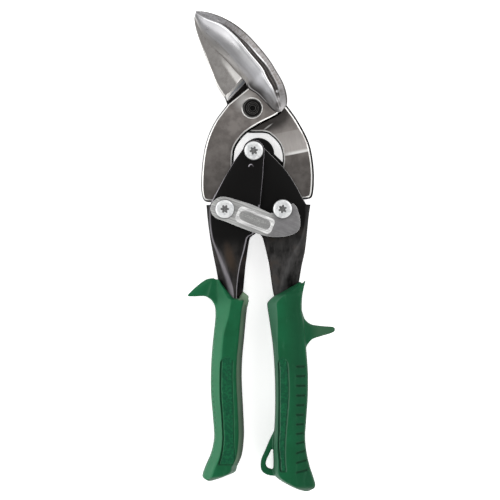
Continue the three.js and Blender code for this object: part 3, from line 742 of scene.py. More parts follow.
@dataclass(frozen=True)
class JawSteel:
    """Steel of the domed jaw: painted highlight along the crest, painted shade in the groove, rim with
    grinding marks across it.
    """

    name: str = "polished_jaw_steel"
    edge: Colour = (0.36, 0.345, 0.33)
    facet: Colour = (0.43, 0.43, 0.45)
    crest: Colour = (0.95, 0.95, 0.96)
    groove: Colour = (0.1, 0.09, 0.085)
    rim: Colour = (0.17, 0.155, 0.147)
    fillet_shadow: Colour = (0.012, 0.011, 0.01)
    shade: Colour = (0.19, 0.185, 0.185)
    side: Colour = (0.07, 0.066, 0.063)
    foot: Colour = (0.4, 0.39, 0.39)
    glint: Point2 = (12.5, 8.0)
    dark_spot: Point2 = (12.9, 1.5)

    def material(self) -> Material:
        """Makes the material; x runs over the relief of the jaw, and u along it from the tip.

        Returns:
            The material.
        """
        r = Recipe(self.name)
        relief = r.relief()
        x, u = r.axis(relief, "X"), r.axis(relief, "Y")
        streak = r.noise(r.stretched(relief, (9.0, 2.2, 1.0)), 1.0, 4.0, 0.6)
        cross = r.noise(r.stretched(relief, (1.2, 95.0, 1.0)), 1.0, 2.0, 0.5)
        cloud = r.noise(r.spot(), 0.22, 3.0, 0.55)
        drawn = (streak - 0.5) * (1.6 - u.step(0.55, 0.75) * 1.3)
        grooved = u.band(0.12, 0.3, 0.76, 0.86)
        tipward = u.fall(0.12, 0.4)
        # Facet from the cutting edge up to the crest: painted highlight brightening towards the crest,
        # painted shade where the lamps' glare falls near the tip, and a painted highlight line along the
        # crest.
        low = r.blend((x + 1 + drawn * 0.5).step(0.05, 0.5), self.edge, self.facet)
        lit = 0.55 - tipward * 0.45 - u.step(0.4, 0.6) * 0.35
        mid = r.blend((x + drawn * 0.3).step(-0.8, -0.2) * lit, low, self.crest)
        glare = u.fall(0.3, 0.55) * x.band(-0.8, -0.45, -0.1, 0.0)
        mid = r.blend(glare * 0.55, mid, self.shade)
        line = (x + (cloud - 0.5) * 0.08 + (1 - tipward) * 0.03).step(-0.09, -0.03)
        face = r.blend(line * u.fall(0.7, 0.84) * (1 - tipward * 0.45), mid, self.crest)
        # Painted shade over the band by the pivot plate, a painted shadow along the fillet beside it, and one
        # painted highlight line standing for a lit lip.
        zone = (x + drawn * 0.2).fall(-0.65, -0.4) * u.band(0.56, 0.62, 0.72, 0.78)
        face = r.blend(zone * (streak.step(0.35, 0.6) * 0.4 + 0.4), face, self.shade)
        fillet = x.fall(-0.95, -0.55) * u.step(0.55, 0.62)
        fillet = fillet * (1 - u.step(0.76, 0.86) * x.step(-0.9, -0.7))
        face = r.blend(fillet * 0.95, face, self.fillet_shadow)
        lip = x.band(-0.95, -0.92, -0.89, -0.85) * u.band(0.57, 0.62, 0.8, 0.86)
        face = r.blend(lip * 0.8, face, self.foot)
        # Groove painted dark as shade, a painted highlight line on the ridge beyond it, and the ground rim.
        thin = u.fall(0.28, 0.5)
        dark = x.step(0.2, 0.5) * (x + thin * 0.7).fall(1.1, 1.5) * grooved
        rim = r.blend(r.speckle(cross, cloud, 0.7, 0.4, 0.6) * 0.4 + tipward * 0.4, self.rim, self.facet)
        ridge = (x + thin * 0.35).band(1.55, 1.85, 1.95, 2.15) * grooved * (1 - u.step(0.5, 0.62) * 0.8)
        outer = r.blend(ridge, r.blend(x.step(0.0, 0.3), face, rim), self.crest)
        body = r.blend(dark * (0.35 + u.step(0.35, 0.65) * 0.6), outer, self.groove)
        # Pivot end, a painted glint, a darker spot, and the side painted dark as shade.
        ended = r.blend(u.step(0.74, 0.88) * x.step(-0.9, -0.5), body, self.foot)
        ended = r.blend(r.near(self.glint, 0.4, 0.95) * 0.9, ended, self.crest)
        ended = r.blend(r.near(self.dark_spot, 0.6, 2.0) * 0.7, ended, self.groove)
        colour = r.blend(x.step(2.7, 2.86), ended, self.side)
        rough = x.step(0.1, 0.4) * 0.14 + r.speckle(streak, cloud) * 0.08 + 0.26 - ridge * 0.12
        rough = rough + u.step(0.4, 0.6) * x.fall(-0.25, -0.1) * 0.2
        bump = streak * x.fall(0.0, 0.3) * u.fall(0.6, 0.8) + cross * x.step(1.9, 2.3) * 1.5
        return r.finish(colour, rough, bump, 0.012, Metallic=1.0)


@dataclass(frozen=True)
class SatinSteel:
    """Satin steel of the back jaw: left edge darkened as painted shade, painted warm highlight along the cut.
    """

    name: str = "satin_back_jaw"
    face: Colour = (0.38, 0.365, 0.35)
    patch: Colour = (0.27, 0.255, 0.245)
    bright: Colour = (0.95, 0.93, 0.9)
    flare_from: Point2 = (-18.0, 27.5)
    flare_turn: float = -47.2

    def material(self) -> Material:
        """Makes the material.

        Returns:
            The material.
        """
        r = Recipe(self.name)
        cloud = r.noise(r.spot(), 0.3, 4.0, 0.6)
        grain = r.noise(r.spot((0.5, 5.0, 1.0), 62.0), 1.0, 4.0, 0.6)
        facing, share = r.facing(), r.axis(r.relief(), "X")
        face = r.blend(r.speckle(cloud, grain, 0.5, 0.36, 0.62), self.patch, self.face)
        # Painted shade along the left edge's bevel.
        face = r.blend((share + (grain - 0.5) * 0.12).fall(0.1, 0.26) * 0.5, face, self.patch)
        # Painted warm highlight along the cut, and a painted highlight on the chamfer.
        spot = r.spot(turn=self.flare_turn, centre=self.flare_from)
        along, across = r.axis(spot, "X"), r.axis(spot, "Y")
        flare = along.step(1.0, 14.0) * (across + along * 0.15 + grain - 0.5).step(-0.7, 0.9)
        lit = r.blend(flare * (grain * 0.4 + 0.7), face, self.bright)
        colour = r.blend(facing.band(0.55, 0.9, 0.9, 0.99), lit, self.bright)
        # Painted white highlight line beside the slanted relief of the plate, with less metal so that it
        # shows.
        cut = r.spot(turn=SLOT_TURN, centre=SLOT_FROM)
        ahead = r.axis(cut, "X")
        reach = r.axis(cut, "Y") - ahead * 0.143
        line = reach.fall(1.3, 1.6) * ahead.band(0.8, 1.8, 13.2, 14.2)
        colour = r.blend(line, colour, self.bright)
        rough = r.speckle(grain, cloud, 0.6) * 0.14 + 0.3
        return r.finish(colour, rough, grain, 0.014, Metallic=1 - line * 0.9)


@dataclass(frozen=True)
class ForgedSteel:
    """Satin brown-grey steel with ground chamfers painted bright as a highlight, black forged walls darkened
    as painted shade, and painted shadows, highlights and sheen where set.
    """

    name: str = "satin_forged_steel"
    face: Colour = (0.27, 0.248, 0.233)
    patch: Colour = (0.18, 0.163, 0.153)
    edge: Colour = (0.8, 0.79, 0.77)
    wall: Colour = (0.02, 0.018, 0.017)
    pale: Colour = (0.4, 0.37, 0.352)
    bevel: Colour = (0.5, 0.52, 0.58)
    strip_highlight: Colour = (1.0, 0.98, 0.95)
    shade: float = 0.5
    sheen: float = 0.55
    cast_shadows: tuple[tuple[Point2, float, float, Point2, float], ...] = ()
    joggled: bool = False
    slotted: bool = False
    sheen_spot: Point2 | None = None
    crease_highlight: Point2 | None = None

    def material(self) -> Material:
        """Makes the material.

        Returns:
            The material.
        """
        r = Recipe(self.name)
        spot = r.spot()
        x, y = r.axis(spot, "X"), r.axis(spot, "Y")
        cloud = r.noise(spot, 0.16, 5.0, 0.6)
        grain = r.noise(r.spot((1.0, 0.35, 1.0)), 3.0, 4.0, 0.65)
        facing = r.facing()
        face = r.blend(cloud.step(0.36, 0.66), self.patch, self.face)
        face = r.blend(y.fall(-40.0, 2.0) * self.shade, face, self.wall)
        # The joggle's ramp painted pale as lit, with a painted highlight along its foot line.
        if self.joggled:
            top, foot, lean = RAMP
            height = y - (x - RAMP_X) * lean
            streak = r.noise(r.spot((1.6, 0.12, 1.0), 8.0), 1.0, 4.0, 0.6)
            lit = height.step(foot - 0.25, foot + 0.05) * (1 - height.step(foot + 3.0, top + 3.5) * 0.75)
            face = r.blend(lit * (streak * 0.8 + 0.5), face, self.pale)
            crease_highlight = height.band(foot - 0.5, foot - 0.05, foot + 0.3, foot + 1.8)
            face = r.blend(crease_highlight * (x + streak * 4.0).step(14.0, 24.0), face, self.edge)
        # Painted shadows cast onto the plate.
        for patch in self.cast_shadows:
            face = r.blend(r.near(*patch) * 0.8, face, self.wall)
        # A short painted highlight line.
        if self.crease_highlight:
            face = r.blend(r.near(self.crease_highlight, 0.15, 0.45, (8.0, 1.0), 36.0) * 0.5, face, self.edge)
        # Chamfers painted bright: ground steel, with a painted highlight.
        bare = facing.fall(0.94, 0.985) * (grain * 0.5 + cloud).step(0.3, 0.62)
        # Around this spot the painted chamfer highlight is dimmed and a painted sheen lightens the face.
        if self.sheen_spot:
            bare = bare * (1 - r.near(self.sheen_spot, 2.3, 3.9) * 0.85)
            face = r.blend(r.near(self.sheen_spot, 0.0, 5.5, (1.3, 1.0), 40.0) * self.sheen, face, self.edge)
        worn = r.blend(bare, face, self.edge)
        # Walls painted near black: forged scale, and painted shade.
        colour = r.blend(facing.fall(0.4, 0.62), worn, self.wall)
        metal = 1 - bare * facing.step(0.6, 0.7) * 0.6
        if self.slotted:
            # The slanted relief painted as lit: its facet a bluish reflection turning bright, the flat band
            # above it a white highlight, with little metal so the colour shows; the slot beside it painted
            # black as shade.
            cut = r.spot(turn=SLOT_TURN, centre=SLOT_FROM)
            reach = r.axis(cut, "Y")
            slanted = reach.band(0.0, 0.1, 5.0, 5.2) * r.axis(cut, "X").step(0.8, 1.1)
            tone = r.blend(reach.step(1.0, 2.0), self.bevel, self.edge)
            colour = r.blend(slanted, colour, r.blend(facing.step(0.96, 0.995), tone, self.strip_highlight))
            colour = r.blend((0 - reach).band(0.0, 0.1, 5.1, 5.3), colour, self.wall)
            metal = metal * (1 - slanted * 0.95)
        rough = r.speckle(grain, cloud) * 0.12 + 0.36 - bare * 0.1
        return r.finish(colour, rough, grain, 0.016, Metallic=metal, Specular_Tint=(0.2, 0.2, 0.2, 1))


@dataclass(frozen=True)
class BlackOxide:
    """Black oxide on pressed steel, worn pale along its edges, with painted highlights along the folds and
    lit edges.
    """

    name: str = "black_oxide"
    deep: Colour = (0.004, 0.0038, 0.0037)
    worn: Colour = (0.03, 0.028, 0.027)
    brown: Colour = (0.045, 0.031, 0.022)
    edge: Colour = (0.6, 0.59, 0.6)
    metal: float = 0.3
    neck: bool = True
    fold: float = 0.36
    lip: float = 0.0
    worn_from: float = -54.0
    nick: Point2 | None = None
    rust: Point2 = (-10.6, -73.5)
    lit_edge: Point2 | None = None
    lit_turn: float = 62.8

    def material(self) -> Material:
        """Makes the material.

        Returns:
            The material.
        """
        r = Recipe(self.name)
        spot = r.spot()
        x, y = r.axis(spot, "X"), r.axis(spot, "Y")
        cloud = r.noise(spot, 0.09, 4.0, 0.62)
        grain = r.noise(spot, 2.6, 4.0, 0.7)
        rub = r.noise(r.spot((1.0, 0.25, 1.0)), 0.35, 4.0, 0.6)
        facing = r.facing()
        down = y.fall(-74.0, self.worn_from) if self.neck else 0.3
        worn = r.blend(down * r.speckle(cloud, rub, 0.5, 0.34, 0.62), self.deep, self.worn)
        warm = r.blend(down * cloud.step(0.54, 0.74) * 0.6, worn, self.brown)
        rim = facing.band(0.2, 0.5, 0.6, 0.97) * (grain * 0.6 + rub * 0.6).step(0.3, 0.7)
        if self.neck:
            relief = r.relief()
            place, along = r.axis(relief, "X"), r.axis(relief, "Y")
            # Painted highlight along the neck's fold, and painted highlight lines at its front edges.
            fold = (place + down * 0.5).step(2.0, 2.9) * (place - down * 0.5).fall(3.5, 4.4)
            fold = fold * (rub + 0.4) * (1 - along.step(0.8, 1.0) * 0.6)
            ends = place.fall(0.02, 0.07) + place.step(21.9, 22.1)
            lip = ends * along.step(0.01, 0.03) * self.lip
            rim = rim * along.fall(0.0, 0.02) * 1.7 + fold * self.fold + lip
            rust = r.near(self.rust, 0.5, 6.5, (0.55, 1.6), 14.0)
            warm = r.blend(rust * (rub * 0.8 + 0.4), warm, self.brown)
        if self.nick:
            ring = r.near(self.nick, 1.15, 1.4) * (1 - r.near(self.nick, 0.75, 1.0))
            ring = ring * (y - self.nick[1]).step(-0.3, 0.2) * facing.step(0.8, 0.9)
            rim = rim + ring * (1 - (x - self.nick[0]).step(-0.3, 0.9) * 0.85)
        if self.lit_edge:
            line = r.spot(turn=self.lit_turn, centre=self.lit_edge)
            beside, ahead = r.axis(line, "Y"), r.axis(line, "X")
            band = beside.band(-0.35, -0.15, 0.5, 0.8) * ahead.band(-23.0, -21.5, -1.0, 0.5)
            rim = rim + band * facing.step(0.25, 0.5) * 0.5
        colour = r.blend(rim * 0.8, warm, self.edge)
        rough = r.speckle(grain, cloud, 0.6) * 0.16 + 0.4
        bump = grain * 0.7 + rub * 0.3
        return r.finish(colour, rough, bump, Metallic=self.metal, Specular_IOR_Level=0.1)


@dataclass(frozen=True)
class ZincPlate:
    """Bright zinc plating with faint bloom, and painted shade in the recess and on the steep sides."""

    name: str = "bright_zinc"
    pale: Colour = (0.93, 0.94, 0.94)
    bloom: Colour = (0.66, 0.67, 0.68)
    painted_shade: Colour = (0.1, 0.1, 0.1)
    metal: float = 0.75
    rough: float = 0.3
    recess_low: float = -60.0
    recess_high: float = -50.0

    def material(self) -> Material:
        """Makes the material.

        Returns:
            The material.
        """
        r = Recipe(self.name)
        spot = r.spot()
        cloud = r.noise(spot, 0.5, 4.0, 0.6)
        grain = r.noise(spot, 3.5, 3.0, 0.6)
        low, high = self.recess_low, self.recess_high
        # Star recess and steep sides painted dark as shade.
        sunk = r.axis(spot, "Z").band(low, low + 0.2, high - 0.5, high)
        side = r.facing().fall(0.2, 0.75)
        shine = r.blend(cloud.step(0.4, 0.68), self.pale, self.bloom)
        colour = r.blend((sunk * (grain + 0.3) + side * 0.35).step(0.0, 1.0), shine, self.painted_shade)
        rough = r.speckle(grain, cloud) * 0.14 + self.rough
        return r.finish(colour, rough, grain, 0.014, Metallic=self.metal)


@dataclass(frozen=True)
class LatchPlate:
    """Brushed plating of the latch, pale by the pivot and dark at the hook, with painted shade and highlights
    on its edges and rim.
    """

    name: str = "brushed_latch"
    pale: Colour = (0.66, 0.665, 0.65)
    dark: Colour = (0.2, 0.195, 0.2)
    rim: Colour = (0.95, 0.95, 0.94)
    panel: Colour = (0.3, 0.3, 0.295)
    rim_above: float = 10.3
    lean: float = -20.0
    panel_middle: Point2 = (1.45, -54.9)
    panel_size: Point2 = (7.9, 2.6)
    panel_lean: float = -22.2

    def material(self) -> Material:
        """Makes the material.

        Returns:
            The material.
        """
        r = Recipe(self.name)
        spot = r.spot(turn=self.lean, centre=LEFT_PIVOT)
        along = r.axis(spot, "X")
        brushed = r.noise(r.spot((0.12, 1.7, 1.0), self.lean), 1.0, 4.0, 0.65)
        broad = r.noise(r.spot((0.05, 0.5, 1.0), self.lean), 1.0, 2.0, 0.5)
        cloud = r.noise(spot, 0.3, 3.0, 0.5)
        facing = r.facing()
        # Face, pale at the pivot and dark at the hook.
        hook = (along + cloud * 4.0).step(21.0, 29.0)
        lined = r.speckle(brushed, broad, 0.7, 0.36, 0.64)
        worn = r.blend(cloud.step(0.42, 0.6) * 0.06 + (1 - lined) * 0.07, self.dark, self.pale)
        face = r.blend(hook, r.blend(lined * 0.75, self.pale, self.dark), worn)
        # Painted shade on the gently sloped band inside the rounded edge; the steeper edge painted bright as
        # a highlight.
        face = r.blend(facing.fall(0.95, 0.99) * 0.7, face, self.dark)
        bare = facing.fall(0.78, 0.9) * 0.75
        # Recessed panel, and the raised rim round it painted bright as a highlight with brush streaks, darker
        # along the middle of its long sides and on its steep walls.
        raised = r.axis(r.spot(), "Z").step(self.rim_above, self.rim_above + 0.12)
        stipple = r.noise(spot, 2.4, 2.0, 0.5).step(0.4, 0.62)
        inside = r.near(self.panel_middle, 0.96, 1.04, self.panel_size, self.panel_lean)
        plain = r.blend(inside * (stipple * 0.6 + 0.35), face, self.panel)
        middle = along.band(9.0, 12.0, 19.0, 22.0) * (1 - r.axis(spot, "Y").step(-4.0, -2.0) * 0.3)
        lines = (0.56 - brushed).step(0.0, 0.16) * 0.5
        streaked = r.blend(facing.fall(0.3, 0.8) * 0.6 + lines + middle * 0.25, self.rim, self.dark)
        colour = r.blend((bare + raised).step(0.1, 0.9), plain, r.blend(raised, self.rim, streaked))
        rough = brushed.step(0.3, 0.7) * 0.14 + 0.28 + hook * 0.1
        return r.finish(colour, rough, brushed, 0.014, Metallic=0.9 - bare * (hook * 0.6 + 0.6))


@dataclass(frozen=True)
class GripVinyl:
    """Moulded green vinyl with a fine grain, grooves painted dark as shade, rubbed edges, and painted light
    and shade on its faces and sides.
    """

    name: str = "green_vinyl"
    deep: Colour = (0.002, 0.075, 0.026)
    pale: Colour = (0.004, 0.1, 0.037)
    dust: Colour = (0.04, 0.15, 0.08)
    dark: Colour = (0.003, 0.05, 0.02)
    groove: Colour = (0.001, 0.028, 0.011)
    panel: Colour = (0.001, 0.055, 0.024)
    facet: Colour = (0.024, 0.17, 0.075)
    bloom: Colour = (0.1, 0.165, 0.105)
    under: Colour = (0.045, 0.062, 0.045)
    facet_share: float = 0.8
    lug: Colour | None = None
    fade: float = -93.0
    shade: Point2 | None = None

    def material(self) -> Material:
        """Makes the material.

        Returns:
            The material.
        """
        r = Recipe(self.name)
        spot = r.spot()
        y = r.axis(spot, "Y")
        cloud = r.noise(spot, 0.07, 4.0, 0.55)
        grain = r.noise(spot, 3.2, 3.0, 0.6)
        mottle = r.noise(spot, 0.9, 4.0, 0.7)
        scuff = r.noise(r.spot((1.0, 0.2, 1.0)), 0.4, 5.0, 0.65)
        normal = r.node("ShaderNodeNewGeometry", {}, {}).outputs["Normal"]
        marks = r.node("ShaderNodeAttribute", {"attribute_name": MOULD_MARK}, {}).outputs["Vector"]
        groove, panel, shell = (r.axis(marks, name) for name in "XYZ")
        base = r.blend(cloud.step(0.35, 0.68), self.deep, self.pale)
        if self.shade:
            across = r.axis(r.spot(turn=4.0, centre=self.shade), "X")
            base = r.blend(across.step(-5.0, 5.0) * 0.75 * (1 - across.step(6.0, 9.0) * 0.5), base, self.dark)
        base = r.blend(panel * 0.85, base, r.blend(mottle.step(0.44, 0.6), self.panel, self.pale))
        colour = r.blend(scuff.step(0.56, 0.8) * 0.35, base, self.dust)
        # Faces turned up and to the left painted lighter as lit, less so towards the top; steep sides painted
        # darker as shade.
        lit = (0 - r.axis(normal, "X")).step(0.16, 0.5) * r.axis(normal, "Z").step(0.12, 0.35)
        lit = lit * (1 - y.step(self.fade - 6.0, self.fade + 3.0) * 0.75)
        colour = r.blend(lit * self.facet_share * (cloud * 0.4 + 0.75), colour, self.facet)
        colour = r.blend(r.facing().fall(0.3, 0.72) * (1 - lit) * 0.6, colour, self.dark)
        # Pale inner shell, paler towards the front and darker towards the back as painted shade, with a paler
        # lug.
        tone = r.blend(r.axis(spot, "Z").fall(-2.0, 6.0), self.bloom, self.under)
        tone = r.blend(cloud.step(0.35, 0.65) * 0.4, tone, self.under)
        if self.lug:
            tone = r.blend(y.step(-101.0, -88.0) * 0.7, tone, self.lug)
        colour = r.blend(shell * 0.92, colour, tone)
        # Grooves painted dark as shade.
        colour = r.blend(groove * 0.92, colour, self.groove)
        rough = r.speckle(grain, scuff) * 0.16 + 0.4 + shell * 0.4
        return r.finish(colour, rough, grain + mottle * panel * 2.0, Specular_IOR_Level=0.15)


# ---- Blades --------------------------------------------------------------------------------------
# Outlines of the jaws from the tip to the pivot, and the shares across at which crest and groove lie.
JAW_INNER: list[Point2] = [
    (-28.1, 44.4), (-25.2, 38.2), (-21.5, 32.6), (-17, 28), (-12.4, 23.1), (-8.2, 18.2), (-3.2, 12.9),
    (-1.9, 9.7), (2.5, 6.8), (6.5, 2.9), (10, -0.8), (12.8, -2.1),
]
JAW_OUTER: list[Point2] = [
    (-27.3, 47.5), (-22, 47), (-15, 44.7), (-8.3, 41), (-2.4, 36.2), (3, 30.5), (8.2, 24.1),
    (12, 18.1), (15.4, 12), (17.1, 6.4), (17.1, 1.7), (14.6, -1.7),
]
JAW_LINES: list[Point2] = [
    (0.66, 0.75), (0.65, 0.755), (0.74, 0.785), (0.71, 0.755), (0.655, 0.742), (0.638, 0.726), (0.64, 0.745),
    (0.58, 0.7), (0.52, 0.625), (0.5, 0.58), (0.5, 0.56),
]
FRONT_PLATE = trace(
    [(-11.7, 2.3), (-15.6, -2.8), (-18, -6.3), (-20.7, -11.7), (-22.8, -18), (-24.0, -24.4), (-24.7, -31.3)],
    [(-24.9, -36.7), (-24.7, -41.1), (-23.8, -44.6), (-22.3, -45.8), (-19.6, -46.0)],
    [(-18.2, -46.3)],
    arc(LEFT_PIVOT, SHANK_ROUND, 150, 360, 12),
    [(-8.0, -40), (-8.8, -30), (-8.8, -24.6), (-8.0, -19.5), (-5.4, -15.3), (-2.1, -11.9), (3.3, -8.4),
     (8, -6), (11.4, -4.3), (14.4, -2.1), (16, 1.1), (16.2, 4.5)],
    [(15.2, 8.6), (11.5, 12.6), (6.5, 14.2), (1.6, 13.2)],
    [(-2.2, 10)],
)
BACK_JAW_LEFT: list[Point2] = [
    (-28.3, 44.3), (-27.6, 39.6), (-25.6, 33), (-23.2, 26.8), (-20.6, 19.4), (-17.4, 11.4), (-13.6, 5.4),
]


@dataclass
class FrontBlade:
    """Front blade: domed jaw, pivot plate, left shank and the pivot's fasteners."""

    low: float = 0.05
    high: float = 5.0
    seat_radius: float = 4.62
    wall: Point2 = (0.75, 3.5)
    chamfer: Point2 = (0.6, 0.45)
    draft: float = 0.25
    land: float = 0.5
    tip_height: float = 7.2
    crest_rise: float = 5.6
    crest_fall: float = 4.6
    lap_low: float = 3.0
    belly_low: float = 1.2
    front_share: float = 0.76
    groove_depth: float = 1.5
    ridge_depth: float = 0.8
    rim_share: float = 0.62
    jaw_steps: tuple[int, int] = (120, 150)
    head_radius: float = 4.5
    head_height: float = 2.7
    head_proud: float = 0.1
    shaft_radius: float = 3.2
    shaft_end: float = -8.9
    washer_radius: float = 5.4
    nut_low: float = -8.6
    steel: ForgedSteel = ForgedSteel(sheen_spot=(-3.7, 3.3))
    jaw_steel: JawSteel = JawSteel()
    black: BlackOxide = BlackOxide(
        "black_bolt", worn=(0.012, 0.011, 0.01), edge=(0.16, 0.155, 0.15), neck=False
    )

    def jaw_top(self, t: float, u: float) -> float:
        """Height of the domed jaw's front.

        Args:
            t: Share across from the cutting edge to the back of the jaw.
            u: Share along from the tip to the pivot.

        Returns:
            The height.
        """
        crest = self.tip_height + self.crest_rise * ease(u, 0.0, 0.4) - self.crest_fall * ease(u, 0.72, 1.0)
        start = SHEAR_PLANE + self.land
        x = self.relief(t, u)
        if x <= 0:
            domed, hollow = math.sin((x + 1) * math.pi / 2) ** 0.9, ease(x, -1.0, 0.0)
            return mix(start, crest, mix(domed, hollow, ease(u, 0.5, 0.64)))
        if x > 2:
            rim = mix(start, crest, self.rim_share)
            return mix(crest - self.ridge_depth, rim, x - 2) - ease(x, 2.85, 3.0) * 0.5
        dip = math.sin(x * math.pi / 2) ** 2 * self.groove_depth * swell(u, 0.1, 0.3, 0.78, 0.86)
        return crest - self.ridge_depth * (x / 2) ** 1.5 - dip

    @staticmethod
    def relief(t: float, u: float) -> float:
        """Place across the jaw's relief.

        Args:
            t: Share across from the cutting edge to the back of the jaw.
            u: Share along from the tip to the pivot.

        Returns:
            -1 at the cutting edge, 0 at the crest, 1 in the groove, 2 on the second ridge, 3 at the back.
        """
        crest, groove = spline(JAW_LINES, u)
        ridge = groove + (groove - crest) * 0.95
        stops = [0.0, crest, groove, ridge, 1.0]
        for k in range(4):
            if t <= stops[k + 1]:
                return k - 1 + (t - stops[k]) / (stops[k + 1] - stops[k])
        return 3.0

    def jaw_point(self, s: float, u: float) -> Point3:
        """Point on the jaw's closed section.

        Args:
            s: Share round the section.
            u: Share along the jaw.

        Returns:
            The point.
        """
        low = mix(SHEAR_PLANE, self.lap_low, ease(u, 0.56, 0.64))
        belly = mix(SHEAR_PLANE, self.belly_low, ease(u, 0.04, 0.5))
        if s < self.front_share:
            t = s / self.front_share
            height = self.jaw_top(t, u)
        else:
            back = (s - self.front_share) / (1 - self.front_share)
            t = fade(back, 0.12, 0.9)
            height = mix(self.jaw_top(1.0, u), belly, ease(back, 0.0, 0.12))
            height = mix(height, low, ease(1 - t, 0.54, 0.62))
        flat = spline(JAW_INNER, u).lerp(spline(JAW_OUTER, u), t)
        return (flat.x, flat.y, height)

    def jaw_map(self, s: float, u: float) -> Point2:
        """Relief and share along for the finish."""
        share = s / self.front_share
        return (self.relief(share, u) if share < 1 else 3.0 + min(share - 1, 0.3), u)

    def build(self) -> None:
        """Builds and dresses the blade and its fasteners."""
        hole = circle(BLADE_PIVOT, self.seat_radius - self.wall[0], 60)
        plate = Solid().forged(FRONT_PLATE, self.low, self.high, [hole], self.wall, self.chamfer, self.draft)
        steel = self.steel.material()
        piece("front_blade_plate", plate, steel, Body.FRONT_BLADE, ["front_blade"], sharp=20)
        jaw = Solid().skin(*self.jaw_steps, self.jaw_point, self.jaw_map)
        piece("front_blade_jaw", jaw, self.jaw_steel.material(), Body.FRONT_BLADE, sharp=40)
        self.fasteners()

    def fasteners(self) -> None:
        """Builds the pivot bolt, its lock washer and its nut."""
        high = self.high + self.head_proud
        under, head, shaft, end = high - self.head_height, self.head_radius, self.shaft_radius, self.shaft_end
        dark = self.black.material()
        bolt = Solid().turned(
            BLADE_PIVOT,
            [(0, high - 1.1), (1.2, high - 1.1), (1.35, high - 0.2), (1.6, high), (2.2, high),
             (2.4, high - 0.25), (2.9, high - 0.25), (3.1, high), (head - 0.35, high), (head, high - 0.35),
             (head, under), (shaft, under), *shaft_tip(shaft, end)],
        )
        piece("pivot_bolt", bolt, dark, Body.FRONT_BLADE, ["blade_pivot_bolt"])
        zinc = ZincPlate("zinc_lock_washer").material()
        top = BACK_BLADE_LOW - SEAT
        low = top - WASHER_HEIGHT
        washer = Solid().collar(BLADE_PIVOT, shaft + WASHER_PLAY, self.washer_radius, low, top)
        piece("pivot_washer", washer, zinc, Body.FRONT_BLADE, ["blade_pivot_washer"])
        nut = hexagon(BLADE_PIVOT, self.nut_low, low - SEAT, shaft + HOLE_PLAY)
        piece("pivot_nut", nut, dark, Body.FRONT_BLADE, ["blade_pivot_nut"])


def shaft_tip(radius: float, end: float) -> list[Point2]:
    """Chamfered end of a shaft's profile."""
    return [(radius, end + SHAFT_CHAMFER), (radius - SHAFT_CHAMFER, end), (0, end)]


def hexagon(centre: Point2, low: float, high: float, bore: float) -> Solid:
    """Hexagon nut with broken edges, seated at its high face."""
    hole = circle(centre, bore, 36)
    return Solid().plate(circle(centre, NUT_RADIUS, 6), low, high, [hole], broken=0.25, broken_low=0.5)


